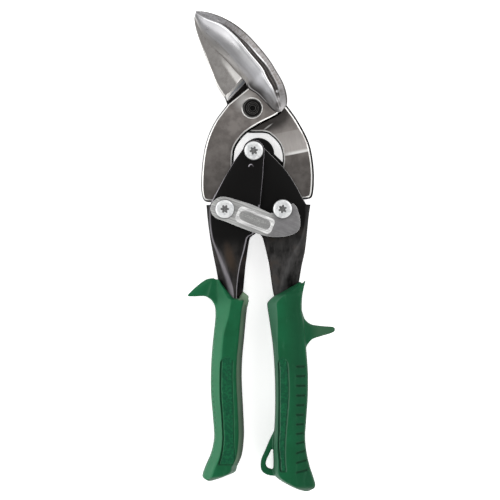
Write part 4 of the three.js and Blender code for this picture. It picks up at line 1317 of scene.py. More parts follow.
@dataclass
class BackBlade:
    """Back blade: raised jaw with a flat shear face, pivot plate and joggled right shank."""

    low: float = BACK_BLADE_LOW
    high: float = -0.05
    bore: float = 3.4
    joggle: float = 2.5
    overlap: float = 0.2
    wall: Point2 = (0.75, 3.4)
    chamfer: Point2 = (0.6, 0.45)
    draft: float = 0.2
    end: Point3 = (-13.1, 5.1, 0.0)
    end_along: Point3 = (10.0, 7.8, 0.0)
    end_slant: float = 27.0
    end_width: float = 0.5
    end_rise: float = 1.2
    edge_drop: float = 0.45
    side_drop: float = 0.9
    tip_low: float = 2.6
    belly_low: float = -7.2
    jaw_steps: tuple[int, int] = (70, 90)
    slot_start: tuple[Point3, Point3] = ((-12.5, 3.7, 0.0), (10.0, -5.4, 0.0))
    slot_wide: float = 5.0
    slot_strip: float = 0.4
    slot_deep: float = 2.0
    slot_within: float = 0.01
    steel: ForgedSteel = ForgedSteel(
        "satin_back_steel",
        cast_shadows=(((14.0, -4.0), 2.5, 9.0, (0.8, 1.2), -40.0), ((4.0, -9.0), 3.0, 6.5, (1.6, 0.7), 10.0)),
        joggled=True,
        slotted=True,
        sheen_spot=(26.0, -14.9),
        sheen=0.15,
        crease_highlight=(7.9, -9.0),
    )
    jaw_steel: SatinSteel = SatinSteel()

    def plate(self) -> Solid:
        """Pivot plate and shank, bent forwards below the ramp.

        Returns:
            The solid.
        """
        outline = trace(
            [(-15.9, 12.4), (-14.0, 7.1), (-12.4, 2.9), (-11.2, -1.6), (-9.2, -6.2), (-5.6, -9.9),
             (-1.9, -11.8), (6.5, -12), (9.9, -13.7), (13.1, -17), (14.7, -20.6), (15.2, -24.4),
             (14.8, -28.5), (13.3, -36), (11, -43), (10, -49.5)],
            arc(RIGHT_PIVOT, SHANK_ROUND, 195, 390, 12),
            [(20.6, -45.6)],
            [(23.6, -44.9), (27.3, -44.5), (29.3, -43.7), (30.1, -41.4), (30.5, -37.6)],
            [(30.6, -32.7), (30.2, -27.3), (29.3, -21.5), (28, -16.6), (26.1, -12.2), (23.6, -7.7),
             (21.2, -3.8), (18.7, -0.4), (17, 2), (14.4, 7), (10.4, 11.6), (4.6, 15.6), (-1, 18.4),
             (-8, 20.6), (-14, 19.6)],
        )
        hole = circle(BLADE_PIVOT, self.bore - self.wall[0], 36)
        solid = Solid().forged(outline, self.low, self.high, [hole], self.wall, self.chamfer, self.draft)
        self.slot(solid)
        top, foot, lean = RAMP
        for height in (top, foot):
            solid.cut((RAMP_X, height, 0), (-lean, 1, 0))
        for vert in solid.bm.verts:
            height = vert.co.y - (vert.co.x - RAMP_X) * lean
            vert.co.z += self.joggle * min(1.0, max(0.0, (top - height) / (top - foot)))
        return solid

    def slot(self, solid: Solid) -> None:
        """Cuts the slanted relief between jaw and pivot plate.

        Args:
            solid: The plate.
        """
        along = Vector((*SLOT_ALONG, 0)).normalized()
        away = Vector((along.y, -along.x, 0))
        start = Vector((*SLOT_FROM, 0))
        solid.cut(*self.slot_start)
        for reach in (0.0, self.slot_wide, self.slot_wide + self.slot_strip):
            solid.cut(start + away * reach, away)
        for vert in solid.bm.verts:
            reach = (vert.co - start).dot(away)
            raised = vert.co.z > self.high - self.chamfer[1] - 0.1
            if raised and -self.slot_within < reach < self.slot_wide + self.slot_within:
                vert.co.z -= self.slot_deep

    def jaw_point(self, s: float, part: float) -> Point3:
        """Point on the raised jaw's closed section.

        Args:
            s: Share round the section.
            part: Share along from the tip to the pivot end.

        Returns:
            The point.
        """
        left = spline(BACK_JAW_LEFT, part)
        u = part * BACK_JAW_END
        inner = spline(JAW_INNER, u).lerp(spline(JAW_OUTER, u), self.overlap)
        face = SHEAR_PLANE - SHEAR_GAP
        low = mix(self.tip_low, self.belly_low, ease(part, 0.0, 0.55))
        low += self.end_rise * ease(part, 0.75, 1.0)
        if s < 0.5:
            t = s / 0.5
            height = face - self.edge_drop * fade(t, 0.0, 0.05)
        else:
            back = (s - 0.5) / 0.5
            t = 1 - back
            bulge = math.sin(back * 1.25 * math.pi / 2) if back < 0.8 else math.cos((back - 0.8) / 0.2 * 1.1)
            height = mix(face - self.side_drop, low, bulge)
        flat = left.lerp(inner, t)
        return (flat.x, flat.y, height)

    def build(self) -> None:
        """Builds and dresses the blade."""
        steel = self.steel.material()
        plate = self.plate()
        piece("back_blade_plate", plate, steel, Body.BACK_BLADE, ["back_blade"], sharp=20)
        jaw = Solid().skin(*self.jaw_steps, self.jaw_point, lambda s, u: (min(2 * s, 1.0), u))
        across = Vector(self.end_along).normalized()
        away = Vector((across.y, -across.x, 0))
        jaw.cut(self.end, away, True)
        slant = math.radians(self.end_slant)
        shoulder = Vector(self.end) - away * self.end_width + Vector((0, 0, SHEAR_PLANE))
        jaw.cut(shoulder, away * math.sin(slant) + Vector((0, 0, math.cos(slant))), True)
        piece("back_blade_jaw", jaw, self.jaw_steel.material(), Body.BACK_BLADE, sharp=30)


# ---- Levers --------------------------------------------------------------------------------------

TANG_END = -152.0


@dataclass
class Lever:
    """One pressed channel lever."""

    name: str
    body: Body
    side: int
    deeper: float
    outer: list[Point2]
    fold: list[Point2]
    front_edge: list[Point2]
    back_edge: list[Point2]
    front_outline: list[Point2]
    back_outline: list[Point2]
    steel: BlackOxide = BlackOxide()
    crowding: float = 0.7
    neck_steps: int = 90
    edge_round: float = 0.3
    broken: Point2 = (0.35, 0.2)

    def section(self, y: float) -> list[Point2]:
        """Closed section of the channel at a height, with softened folds.

        Args:
            y: Height along the lever.

        Returns:
            Points of x and z.
        """
        front = LEVER_FRONT - self.deeper
        back = LEFT_BACK - self.deeper
        under, over = front - SHEET, back + SHEET
        wall, fold = edge_at(self.outer, y), edge_at(self.fold, y)
        near, far = edge_at(self.front_edge, y), edge_at(self.back_edge, y)
        wide = abs(fold - wall)
        slope = front - 1.2 - 0.5 * wide
        inwards = -self.side
        soft = self.edge_round
        lip, turn, half = soft * inwards, 0.35 * inwards, 0.5 * inwards
        inside = wall + SHEET * inwards
        return [
            (near - lip, front), (mix(near, fold, 0.5), front), (fold + half, front), (fold, front - 0.12),
            (fold - half, mix(front, slope, 0.5 / max(0.6, wide))),
            (mix(wall, fold, 0.5), mix(slope, front, 0.5)), (wall + turn, slope + 0.15), (wall, slope - soft),
            (wall, back + 1.4), (wall + turn, back + 0.4), (wall + 1.2 * inwards, back),
            (mix(wall, far, 0.5), back), (far - lip, back), (far, back + soft), (far, over - soft),
            (far - lip, over), (wall + 3 * inwards, over), (inside, over + 0.5), (inside, slope - 1),
            (fold + 0.9 * inwards, under), (near - lip, under), (near, under + soft), (near, front - soft),
        ]

    def neck_point(self, s: float, v: float) -> Point3:
        """Point on the neck's skin.

        Args:
            s: Share round the section.
            v: Share along from the tang's end to the top of the wall.

        Returns:
            The point.
        """
        y = mix(TANG_END, self.outer[0][1], v**self.crowding)
        points = self.section(y)
        x, z = points[round(s * len(points)) % len(points)]
        return (x, y, z)

    def build(self) -> None:
        """Builds and dresses the lever."""
        front = LEVER_FRONT - self.deeper - 0.01
        back = LEFT_BACK - self.deeper + 0.01
        count = len(self.section(TANG_END))
        channel = Solid().skin(count, self.neck_steps, self.neck_point, lambda s, v: (s * count, v))
        channel.plate(self.front_outline, front - SHEET + 0.02, front, (), *self.broken)
        channel.plate(self.back_outline, back, back + SHEET - 0.02, (), *self.broken)
        black = self.steel.material()
        piece(self.name + "_channel", channel, black, self.body, [self.name], sharp=35)


def left_lever() -> Lever:
    """The left lever, whose plates lie outermost.

    Returns:
        The lever.
    """
    return Lever(
        name="left_lever",
        body=Body.LEFT_HANDLE,
        side=-1,
        deeper=0.0,
        outer=[(-22.3, -47.4), (-21.5, -55.8), (-20.5, -63.1), (-19, -71.4), (-17.4, -79.3), (-16.3, -86),
               (-15.8, -92), (-15.4, -104), (-15.4, -130), (-14.6, TANG_END)],
        fold=[(-20.5, -47.4), (-20.2, -57.2), (-19, -64.6), (-16.1, -71.9), (-12.6, -80.3), (-9.9, -87.6),
              (-9.2, -94), (-9.4, -104), (-10.4, -130), (-10.6, TANG_END)],
        front_edge=[(4.1, -47.4), (2.2, -57), (0.7, -61.6), (-1.7, -62.9), (-2.8, -66.1), (-3.6, -69.5),
                    (-5.3, -75.4), (-6.3, -80.3), (-7.1, -86.6), (-7.4, -94), (-7.6, -104),
                    (-8.2, -130), (-8.6, TANG_END)],
        back_edge=[(5.2, -47.4), (3.4, -57), (1.9, -61.4), (-0.6, -63.2), (-1.6, -67), (-2.4, -72.4),
                   (-3.1, -77.3), (-3.5, -81.7), (-4.2, -89.1), (-5, -94), (-6, -104),
                   (-7.4, -130), (-8.2, TANG_END)],
        front_outline=trace(
            arc(CENTRE_PIVOT, LEVER_ROUND, 0, 170, 18),
            [(-8.2, -25.4), (-13.1, -33.7), (-17.4, -41.4), (-20.5, -47.3)],
            [(-20.3, -52)], [(3.3, -52)],
            [(4.1, -47.4), (4.5, -42.5), (5.2, -35.2), (5.7, -27.8)],
        ),
        back_outline=trace(
            arc(CENTRE_PIVOT, LEVER_ROUND, 0, 170, 18),
            [(-8.4, -26.4), (-13, -34.4), (-17, -41.8), (-20.3, -47.4)],
            [(-20.1, -52)], [(4.3, -52)],
            [(5.2, -47.4), (5.6, -42.5), (6.2, -35.2), (6.6, -27.8)],
        ),
        steel=BlackOxide(
            "black_left_lever", edge=(0.6, 0.57, 0.62), lip=0.5, nick=(-0.4, -28.7), lit_edge=(-9.5, -26.4),
            worn_from=-62.0,
        ),
    )


def right_lever() -> Lever:
    """The right lever, whose front plate lies behind that of the left one.

    Returns:
        The lever.
    """
    return Lever(
        name="right_lever",
        body=Body.RIGHT_HANDLE,
        side=1,
        deeper=RIGHT_DEEPER,
        outer=[(28.8, -47.2), (28, -52.3), (27, -62.1), (26, -70.5), (24.6, -76.8), (23.5, -83.2),
               (22.6, -90), (22, -104), (22.4, -130), (22, TANG_END)],
        fold=[(26.8, -47.2), (26, -57.2), (23.8, -65), (19.6, -72.4), (16.4, -80.3), (14.2, -87.6), (14, -94),
              (14.6, -104), (16, -130), (16.4, TANG_END)],
        front_edge=[(-2.3, -47.2), (0.4, -55.5), (3.4, -59.6), (5.4, -62), (6.4, -66), (7.4, -70.4),
                    (8.7, -76.8), (9.7, -84.2), (10.7, -90), (11.4, -94), (12.2, -104),
                    (13.8, -130), (14.4, TANG_END)],
        back_edge=[(-3.2, -47.2), (-0.8, -55.5), (2.6, -60.4), (5, -63), (6, -66), (7.1, -70.4), (8.5, -76.8),
                   (9.5, -84.2), (10.4, -90), (11.2, -94), (12, -104), (13.6, -130), (14.2, TANG_END)],
        front_outline=trace(
            arc(CENTRE_PIVOT, LEVER_ROUND, 15, 180, 18),
            [(-3.9, -27.8), (-3.4, -35.2), (-2.8, -42.5), (-2.3, -47.2)],
            [(-1.1, -52)], [(26.4, -52)],
            [(26.8, -47.2), (24.6, -43.6), (22.1, -38.9), (18.7, -33.3), (15.3, -28.9), (11.4, -24.8)],
        ),
        back_outline=trace(
            arc((3.1, -22.3), 8.0, 0, 150, 18),
            [(-4.8, -21.8), (-5, -27.8), (-4.4, -35.2), (-3.7, -42.5), (-3.2, -47.2)],
            [(-2.1, -52)], [(26.2, -52)],
            [(26.6, -47.4), (24.8, -43), (22.3, -37.2), (19.2, -31.4), (16.4, -27.6), (14.3, -25.4),
             (12, -23.2)],
        ),
        steel=BlackOxide("black_right_lever", worn=(0.05, 0.048, 0.047), fold=0.05),
    )


# ---- Fasteners and spring ------------------------------------------------------------------------


@dataclass
class LeverBolt:
    """Zinc bolt with a low round head, a star recess, a shoulder, its nut and any washer under that."""

    name: str
    centre: Point2
    body: Body
    head_low: float
    shoulder_low: float
    shaft_end: float
    nut_high: float
    nut_node: str
    turn: float = 0.0
    head_radius: float = 4.8
    head_height: float = 2.3
    star_radius: float = 2.05
    star_waist: float = 1.35
    star_depth: float = 1.2
    star_floor: float = 0.4
    recess: float = 2.75
    shoulder: float = 2.9
    shaft: float = 2.4
    nut_height: float = 3.2
    nut_play: float = 0.05
    washer_radius: float = 4.6
    washer_node: str = ""

    def head(self) -> Solid:
        """Bolt with its head and star recess.

        Returns:
            The solid.
        """
        low, top = self.head_low, self.head_low + self.head_height
        radius = self.head_radius
        solid = Solid().turned(
            self.centre,
            [(self.recess, top - 0.04), (self.recess + 0.15, top), (radius - 1.0, top),
             (radius - 0.45, top - 0.16), (radius - 0.1, top - 0.6), (radius, top - 1.1),
             (radius, low + 0.15), (radius - 0.15, low),
             (self.shoulder, low), (self.shoulder, self.shoulder_low), (self.shaft, self.shoulder_low),
             *shaft_tip(self.shaft, self.shaft_end)],
        )
        star = []
        for k in range(6):
            middle = self.turn + 60 * k
            star += arc(self.centre, self.star_radius, middle - 11, middle + 11, 4)
            star += arc(self.centre, self.star_waist, middle + 24, middle + 36, 2)
        bottom = top - self.star_depth
        ring = circle(self.centre, self.recess + 0.01, 60)
        solid.plate(ring, bottom, top - 0.05, [star], broken=0.12, broken_low=0.0, rounds=1)
        ring = circle(self.centre, self.recess - 0.05, 36)
        return solid.plate(ring, bottom - self.star_floor, bottom + 0.05)

    def build(self) -> None:
        """Builds and dresses the bolt, its nut and its washer."""
        top = self.head_low + self.head_height
        floor = top - self.star_depth - self.star_floor
        shiny = ZincPlate("zinc_" + self.name, recess_low=floor, recess_high=top - 0.1).material()
        zinc = ZincPlate("zinc_" + self.nut_node).material()
        piece(self.name + "_zinc", self.head(), shiny, self.body, [self.name])
        bore = self.shaft + self.nut_play
        nut = hexagon(self.centre, self.nut_high - self.nut_height, self.nut_high, bore)
        piece(self.nut_node + "_zinc", nut, zinc, self.body, [self.nut_node])
        if self.washer_node:
            low, high = self.nut_high + SEAT, self.nut_high + SEAT + WASHER_HEIGHT
            washer = Solid().collar(self.centre, self.shaft + WASHER_PLAY, self.washer_radius, low, high)
            piece(self.washer_node + "_zinc", washer, zinc, self.body, [self.washer_node])


def lever_bolts() -> list[LeverBolt]:
    """The three bolts of the levers.

    Returns:
        The bolts from the middle to the right.
    """
    seat, nut_seat = LEVER_FRONT + SEAT, RIGHT_BACK - SEAT
    step = LEFT_INNER_FRONT - LAYER_PLAY + SEAT
    left, right = Body.LEFT_HANDLE, Body.RIGHT_HANDLE
    return [
        LeverBolt(
            "centre_bolt", CENTRE_PIVOT, left, seat, seat, SHAFT_END, nut_seat, "centre_nut", turn=12,
            shoulder=2.41,
        ),
        LeverBolt(
            "left_bolt", LEFT_PIVOT, left, LATCH_HEAD, seat, LEFT_BACK - LEFT_SHAFT_OUT,
            LEFT_BACK - WASHER_HEIGHT - 2 * SEAT, "left_nut", washer_node="left_nut_washer",
        ),
        LeverBolt(
            "right_bolt", RIGHT_PIVOT, right, LATCH_HEAD, step, SHAFT_END, nut_seat, "right_nut", turn=20
        ),
    ]


@dataclass
class CentreParts:
    """Bush, spring and latch washer of the left handle."""

    wire: float = 0.7
    coil_radius: float = 4.2
    turns: float = 1.5
    play: float = 0.1
    bore: float = 2.5
    bush_radius: float = 3.4
    latch_bore: float = 3.0
    washer_radius: float = 4.6
    steel: ZincPlate = ZincPlate("spring_steel", (0.45, 0.44, 0.42), (0.3, 0.29, 0.28), metal=1.0, rough=0.25)

    def route(self) -> list[Point3]:
        """Middle line of the spring wire: a leg, the coil and the other leg.

        Returns:
            Its points.
        """
        high = LEFT_INNER_FRONT - RIGHT_DEEPER - self.play - self.wire / 2
        low = LEFT_INNER_BACK + self.play + self.wire / 2
        left = [(-9, -32), (-8.1, -32), (-6.2, -31.7), (-4, -30), (-3.3, -26.5)]
        right = [(5.1, -26.5), (6.2, -29.8), (9, -31.6), (12.8, -32), (13.7, -32)]
        count = int(8 * self.turns)
        coil = arc(CENTRE_PIVOT, self.coil_radius, 180, 180 - 360 * self.turns, count)
        wound = [(x, y, mix(high, low, k / count)) for k, (x, y) in enumerate(coil)]
        return [*((x, y, high) for x, y in left), *wound, *((x, y, low) for x, y in right)]

    def spring(self) -> None:
        """Builds the spring as one smooth wire."""
        curve = bpy.data.curves.new("spring_wire", "CURVE")
        curve.dimensions = "3D"
        curve.bevel_depth = self.wire / 2 * MM
        curve.bevel_resolution = 3
        curve.resolution_u = 6
        curve.use_fill_caps = True
        points = self.route()
        line = curve.splines.new("NURBS")
        line.points.add(len(points) - 1)
        line.use_endpoint_u = True
        line.order_u = 3
        for knot, spot in zip(line.points, points):
            knot.co = (*((Vector(spot) + SHIFT) * MM), 1)
        curve.materials.append(self.steel.material())
        place_piece("spring_wire", curve, Body.LEFT_HANDLE, ["torsion_spring"])

    def build(self) -> None:
        """Builds and dresses the three pieces."""
        zinc = ZincPlate("zinc_bush").material()
        low, high = LEFT_INNER_BACK + SEAT, LEFT_INNER_FRONT - RIGHT_DEEPER - SEAT
        bush = Solid().collar(CENTRE_PIVOT, self.bore, self.bush_radius, low, high, 0.15)
        piece("bush", bush, zinc, Body.LEFT_HANDLE, ["centre_bush"])
        low = LEVER_FRONT + SEAT
        washer = Solid().collar(LEFT_PIVOT, self.latch_bore, self.washer_radius, low, low + WASHER_HEIGHT)
        piece("washer_under_latch", washer, zinc, Body.LEFT_HANDLE, ["latch_washer"])
        self.spring()


# ---- Latch ---------------------------------------------------------------------------------------


def stadium(a: Point2, b: Point2, radius: float) -> list[Point2]:
    """Outline with two straight sides and round ends about two middles."""
    lean = math.degrees(math.atan2(b[1] - a[1], b[0] - a[0]))
    return arc(b, radius, lean - 90, lean + 90, 14) + arc(a, radius, lean + 90, lean + 270, 14)


@dataclass
class Latch:
    """Latch plate with its hook and raised stadium rim."""

    low: float = LATCH_LOW
    high: float = LATCH_HIGH
    rim: float = 0.45
    rim_middle: Point2 = (1.5, -54.9)
    rim_along: Point2 = (12.2, -5.0)
    rim_lean: float = 22.3
    rim_long: float = 7.3
    rim_wide: float = 1.9
    rim_round: float = 2.2
    panel_ends: tuple[Point2, Point2] = ((-3.7, -52.8), (6.6, -57.0))
    panel_round: float = 2.5
    shoulder: float = 2.9
    slot_slant: float = 27.0
    finish: LatchPlate = LatchPlate()

    def build(self) -> None:
        """Builds and dresses the latch."""
        outline = trace(
            [(-20.3, -49.5), (-19.4, -46.4), (-16.8, -44.1), (-14.1, -43.5), (-10.7, -44), (-5.8, -45.5),
             (0.1, -47.4), (5, -49.7), (8.9, -51.5)],
            arc(RIGHT_PIVOT, self.shoulder + 0.35, 215, 360 - self.slot_slant, 14),
            [(19.5, -46.9)],
            [(20.4, -46.9), (21.7, -48.4), (22.8, -51.2), (23.5, -54), (23.6, -56.7), (23.1, -59.2),
             (21.7, -60.9), (19.2, -62.1), (15.8, -62.9), (11.9, -63.1), (8.4, -62.9), (5, -62.2),
             (1.6, -61.2), (-3.3, -59.4), (-8.2, -57.5), (-13.1, -55.5), (-17.1, -54.1), (-19.4, -52.3)],
        )
        hole = circle(LEFT_PIVOT, self.shoulder + HOLE_PLAY, 36)
        solid = Solid().plate(outline, self.low, self.high, [hole], broken=0.8, broken_low=0.2, rounds=3)
        along = Vector(self.rim_along).normalized()
        side = Vector((-along.y, along.x))
        rim = []
        for right, up, start in ((1, 1, 90), (1, -1, 0), (-1, -1, -90), (-1, 1, -180)):
            corner = Vector(self.rim_middle) + along * (self.rim_long * right) + side * (self.rim_wide * up)
            first = start - self.rim_lean
            rim += arc(tuple(corner), self.rim_round, first, first - 90, 5)
        inner = stadium(*self.panel_ends, self.panel_round)
        low, high = self.high - 0.4, self.high + self.rim
        solid.plate(rim, low, high, [inner], broken=0.42, broken_low=0.0, rounds=3)
        solid.plate(stadium(*self.panel_ends, self.panel_round + 0.1), self.high - 0.3, self.high + 0.03)
        piece("latch_plate", solid, self.finish.material(), Body.LATCH, ["latch"], sharp=28)


# ---- Grips ---------------------------------------------------------------------------------------

LOOP_OUTER = trace(
    [(13.5, -157.5)],
    [(10.9, -158.2), (8.7, -162.6), (6.2, -168.5), (4.7, -172), (4.3, -175.3), (5, -177.9), (7.9, -179.8),
     (11.5, -180.2)],
    [(14, -180)],
)
LOOP_HOLE = trace(
    [(10.9, -164.3), (8.8, -168.9), (7.2, -172.4), (6.9, -174.6), (7.8, -176.3), (10.4, -177.1)],
    [(10.9, -171)],
)


@dataclass
class Grip:
    """One moulded grip: sleeve, thumb guard, recessed panel and details."""

    name: str
    node: str
    body: Body
    left: list[Point2]
    right: list[Point2]
    top: float
    low: float
    guard: list[Point2]
    ridge_in: float
    shell_in: float
    mirrored: bool
    panel_left: list[Point2]
    panel_right: list[Point2]
    panel_top: float
    panel_low: float
    ridge_flare: float
    flare_low: float
    flare_high: float
    ribs: int = 12
    rib_top: float = -126.4
    rib_low: float = -178.4
    rib_from: tuple[Point2, ...] = ((21.4, -120), (21.4, -180))
    rib_to: tuple[Point2, ...] = ((26.2, -126), (26.6, -136), (25.6, -160), (27.8, -178))
    rib_share: float = 0.9
    rib_lean: float = 1.8
    rib_bend: Point2 = (150.0, 172.0)
    line: float = 0.5
    far_line: float = 0.55
    low_line: float = 0.6
    groove_depth: float = 0.7
    panel_depth: float = 0.4
    panel_bow: float = 2.2
    guard_round: float = 1.1
    guard_slim: float = 0.45
    slim: float = 5.0
    lug: tuple[Point2, ...] = ()
    lug_front: float = 6.0
    lug_across: Point2 = (-6.6, -6.2)
    lug_along: Point2 = (-94.2, -93.6)
    horn_share: float = 0.3
    horn_run: Point2 = (28.0, 34.0)
    flange_in: float = 0.0
    flange_run: tuple[float, ...] = (-175.5, -173.5, -94.0, -93.0)
    soft: tuple[Point3, ...] = ()
    loop: bool = False
    loop_back: float = -2.0
    loop_front: float = 4.0
    steps: int = 150
    smoothings: int = 2
    soft_smoothings: int = 24
    end_round: float = 1.4
    back: float = GRIP_BACK
    front: float = 11.0
    guard_back: float = -6.0
    guard_front: float = 8.0
    voxel: float = 0.36
    finish: GripVinyl = GripVinyl()

    def section(self, y: float, inset: float) -> list[Point2]:
        """Closed section at a height.

        Args:
            y: Height along the grip.
            inset: Amount by which the section is drawn in.

        Returns:
            Points of x and z.
        """
        a, b = edge_at(self.left, y) + inset * 0.4, edge_at(self.right, y) - inset * 0.4
        wide = max(b - a, 0.5)
        share = min(1.0, wide / 13.0)
        low, high = self.back + inset, self.front - inset - (1 - share) * self.slim
        ridge = a + (self.ridge_in + self.ridge_flare * ease(y, self.flare_low, self.flare_high)) * share
        shell = b - self.shell_in * share
        foot = [(b - 2.8 * share, low), (a + 2.8 * share, low), (a + 0.8 * share, low + 0.8)]
        if self.mirrored:
            return [
                (a, low + 3.0), (a, low + 14.0), (a + 0.35 * share, high - 4.1),
                (mix(a, ridge, 0.55), high - 1.9), (ridge - 0.25 * share, high - 0.35),
                (ridge + 0.3 * share, high), (mix(ridge, b, 0.75), high - 0.1), (b - 0.7 * share, high - 0.7),
                (b, high - 2.4), (b, low + 3.0), (b - 0.8 * share, low + 0.8), *foot,
            ]
        return [
            (a, low + 3.0), (a, low + 11.5), (a + 0.7 * share, low + 14.0), (ridge - 0.7 * share, high - 0.5),
            (ridge, high - 0.1), (ridge + 0.9 * share, high), (shell - 1.0 * share, high - 0.8),
            (shell, high - 1.3), (shell + 0.5 * share, high - 2.6), (b - 0.5 * share, low + 8.5),
            (b, low + 4.0), (b - 0.8 * share, low + 0.9), *foot,
        ]

    def skin_point(self, s: float, v: float) -> Point3:
        """Point on the sleeve.

        Args:
            s: Share round the section.
            v: Share along from the foot to the mouth.

        Returns:
            The point.
        """
        y = mix(self.low, self.top, v)
        points = self.section(y, self.end_round * fade(y - self.low, 0.0, 2.2))
        x, z = points[round(s * len(points)) % len(points)]
        return (x, y, z)

    def detail(self, x: float, y: float) -> tuple[float, float]:
        """Groove and panel shares at a place of the front.

        Args:
            x: Place across.
            y: Place along.

        Returns:
            Share of a groove's depth and share of the panel's depth.
        """
        a, b = edge_at(self.left, y), edge_at(self.right, y)
        pa, pb = a + edge_at(self.panel_left, y), b - edge_at(self.panel_right, y)
        low, middle = self.panel_low, mix(pa, pb, 0.5)
        top = self.panel_top - self.panel_bow * (2 * (x - middle) / (pb - pa)) ** 2
        run = swell(y, low - 0.3, low + 0.3, top - 0.3, top + 0.3)
        panel = swell(x, pa - 0.2, pa + 0.2, pb - 0.2, pb + 0.2) * run
        line = fade(abs(x - pa), self.line / 2, self.line) * run
        low_line = fade(abs(y - low), 0.1, 0.45) * swell(x, pa, pa + 0.3, pb - 0.3, pb) * self.low_line
        far_line = fade(abs(x - pb), 0.15, 0.5) * run * self.far_line
        rib = 0.0
        pitch = (self.rib_top - self.rib_low) / (self.ribs - 1)
        start, stop = edge_at(self.rib_from, y), edge_at(self.rib_to, y)
        lean = self.rib_lean * ease(-y, *self.rib_bend) * (x - start) / (stop - start) * self.rib_share
        place = (y - lean - self.rib_low) / pitch
        if -0.5 < place < self.ribs - 0.5:
            beside = abs(place - round(place)) * pitch
            inside = swell(x, start, start + 0.6, stop - 0.6, stop)
            rib = fade(beside, 0.15, 0.75) * inside * self.rib_share
        return max(line, low_line, far_line, rib), panel

    def pale(self, x: float, y: float) -> float:
        """Share of the pale inner shell, or of the pale horn, at a place.

        Args:
            x: Place across.
            y: Place along.

        Returns:
            The share.
        """
        if not self.flange_in:
            return self.horn_share * ease(x, *self.horn_run)
        inner = edge_at(self.right, y) - self.flange_in
        flange = ease(x, inner, inner + 0.3) * swell(y, *self.flange_run)
        return max(flange, ease(x, *self.lug_across) * ease(y, *self.lug_along))

    def build(self) -> None:
        """Builds and dresses the grip."""
        ring = len(self.section(self.top, 0.0))
        solid = Solid().skin(ring, self.steps, self.skin_point)
        sleeve = len(solid.bm.verts)
        solid.plate(self.guard, self.guard_back, self.guard_front, (), self.guard_round, rounds=3)
        for vert in list(solid.bm.verts)[sleeve:]:
            a, b = edge_at(self.left, vert.co.y), edge_at(self.right, vert.co.y)
            out = ease(max(a - vert.co.x, vert.co.x - b), -1.0, 11.0) * self.guard_slim
            vert.co.z = mix(vert.co.z, mix(self.guard_back, self.guard_front, 0.55), out)
        if self.lug:
            solid.plate(self.lug, self.guard_back, self.lug_front, broken=0.3)
        if self.loop:
            solid.plate(LOOP_OUTER, self.loop_back, self.loop_front, [LOOP_HOLE], broken=1.0, rounds=3)
        data = self.moulded(solid.shaded(60).mesh(self.name + "_rough"))
        data.materials.append(self.finish.material())
        place_piece(self.name, data, self.body, [self.node])

    @staticmethod
    def softened(bm: BMesh, verts: Iterable[BMVert], times: int) -> None:
        """Smooths some vertices so many times.

        Args:
            bm: The moulding.
            verts: Its vertices to smooth.
            times: How often.
        """
        every_axis = {"use_axis_x": True, "use_axis_y": True, "use_axis_z": True}
        for _ in range(times):
            bmesh.ops.smooth_vert(bm, verts=verts, factor=0.5, **every_axis)

    def moulded(self, rough: Mesh) -> Mesh:
        """Fuses the parts into one moulding, softens it and cuts the front details.

        Args:
            rough: Mesh of the parts that overlap.

        Returns:
            The moulding's mesh.
        """
        holder = link(self.name + "_holder", rough)
        fuse = holder.modifiers.new("fuse", "REMESH")
        fuse.mode = "VOXEL"
        fuse.voxel_size = self.voxel * MM
        bpy.context.view_layer.update()
        fused = bpy.data.meshes.new_from_object(holder.evaluated_get(bpy.context.evaluated_depsgraph_get()))
        bpy.data.objects.remove(holder)
        bm = bmesh.new()
        bm.from_mesh(fused)
        self.softened(bm, bm.verts, self.smoothings)
        for x, y, radius in self.soft:
            middle = Vector((x + SHIFT.x, y + SHIFT.y)) * MM
            inside = [v for v in bm.verts if (v.co.xy - middle).length < radius * MM]
            self.softened(bm, inside, self.soft_smoothings)
        bm.normal_update()
        layer = bm.verts.layers.float_vector.new(MOULD_MARK)
        for vert in bm.verts:
            x, y = vert.co.x / MM - SHIFT.x, vert.co.y / MM - SHIFT.y
            groove, panel, flat = 0.0, 0.0, ease(vert.normal.z, 0.3, 0.6)
            if flat > 0:
                groove, panel = self.detail(x, y)
                uneven = 1 + 0.5 * noise.noise(Vector((x, y, 0)) * 0.9)
                vert.co.z -= (groove * self.groove_depth + panel * self.panel_depth * uneven) * flat * MM
            vert[layer] = (groove * flat, panel * flat, self.pale(x, y))
        for face in bm.faces:
            face.smooth = True
        bm.to_mesh(fused)
        bm.free()
        fused.name = self.name
        return fused


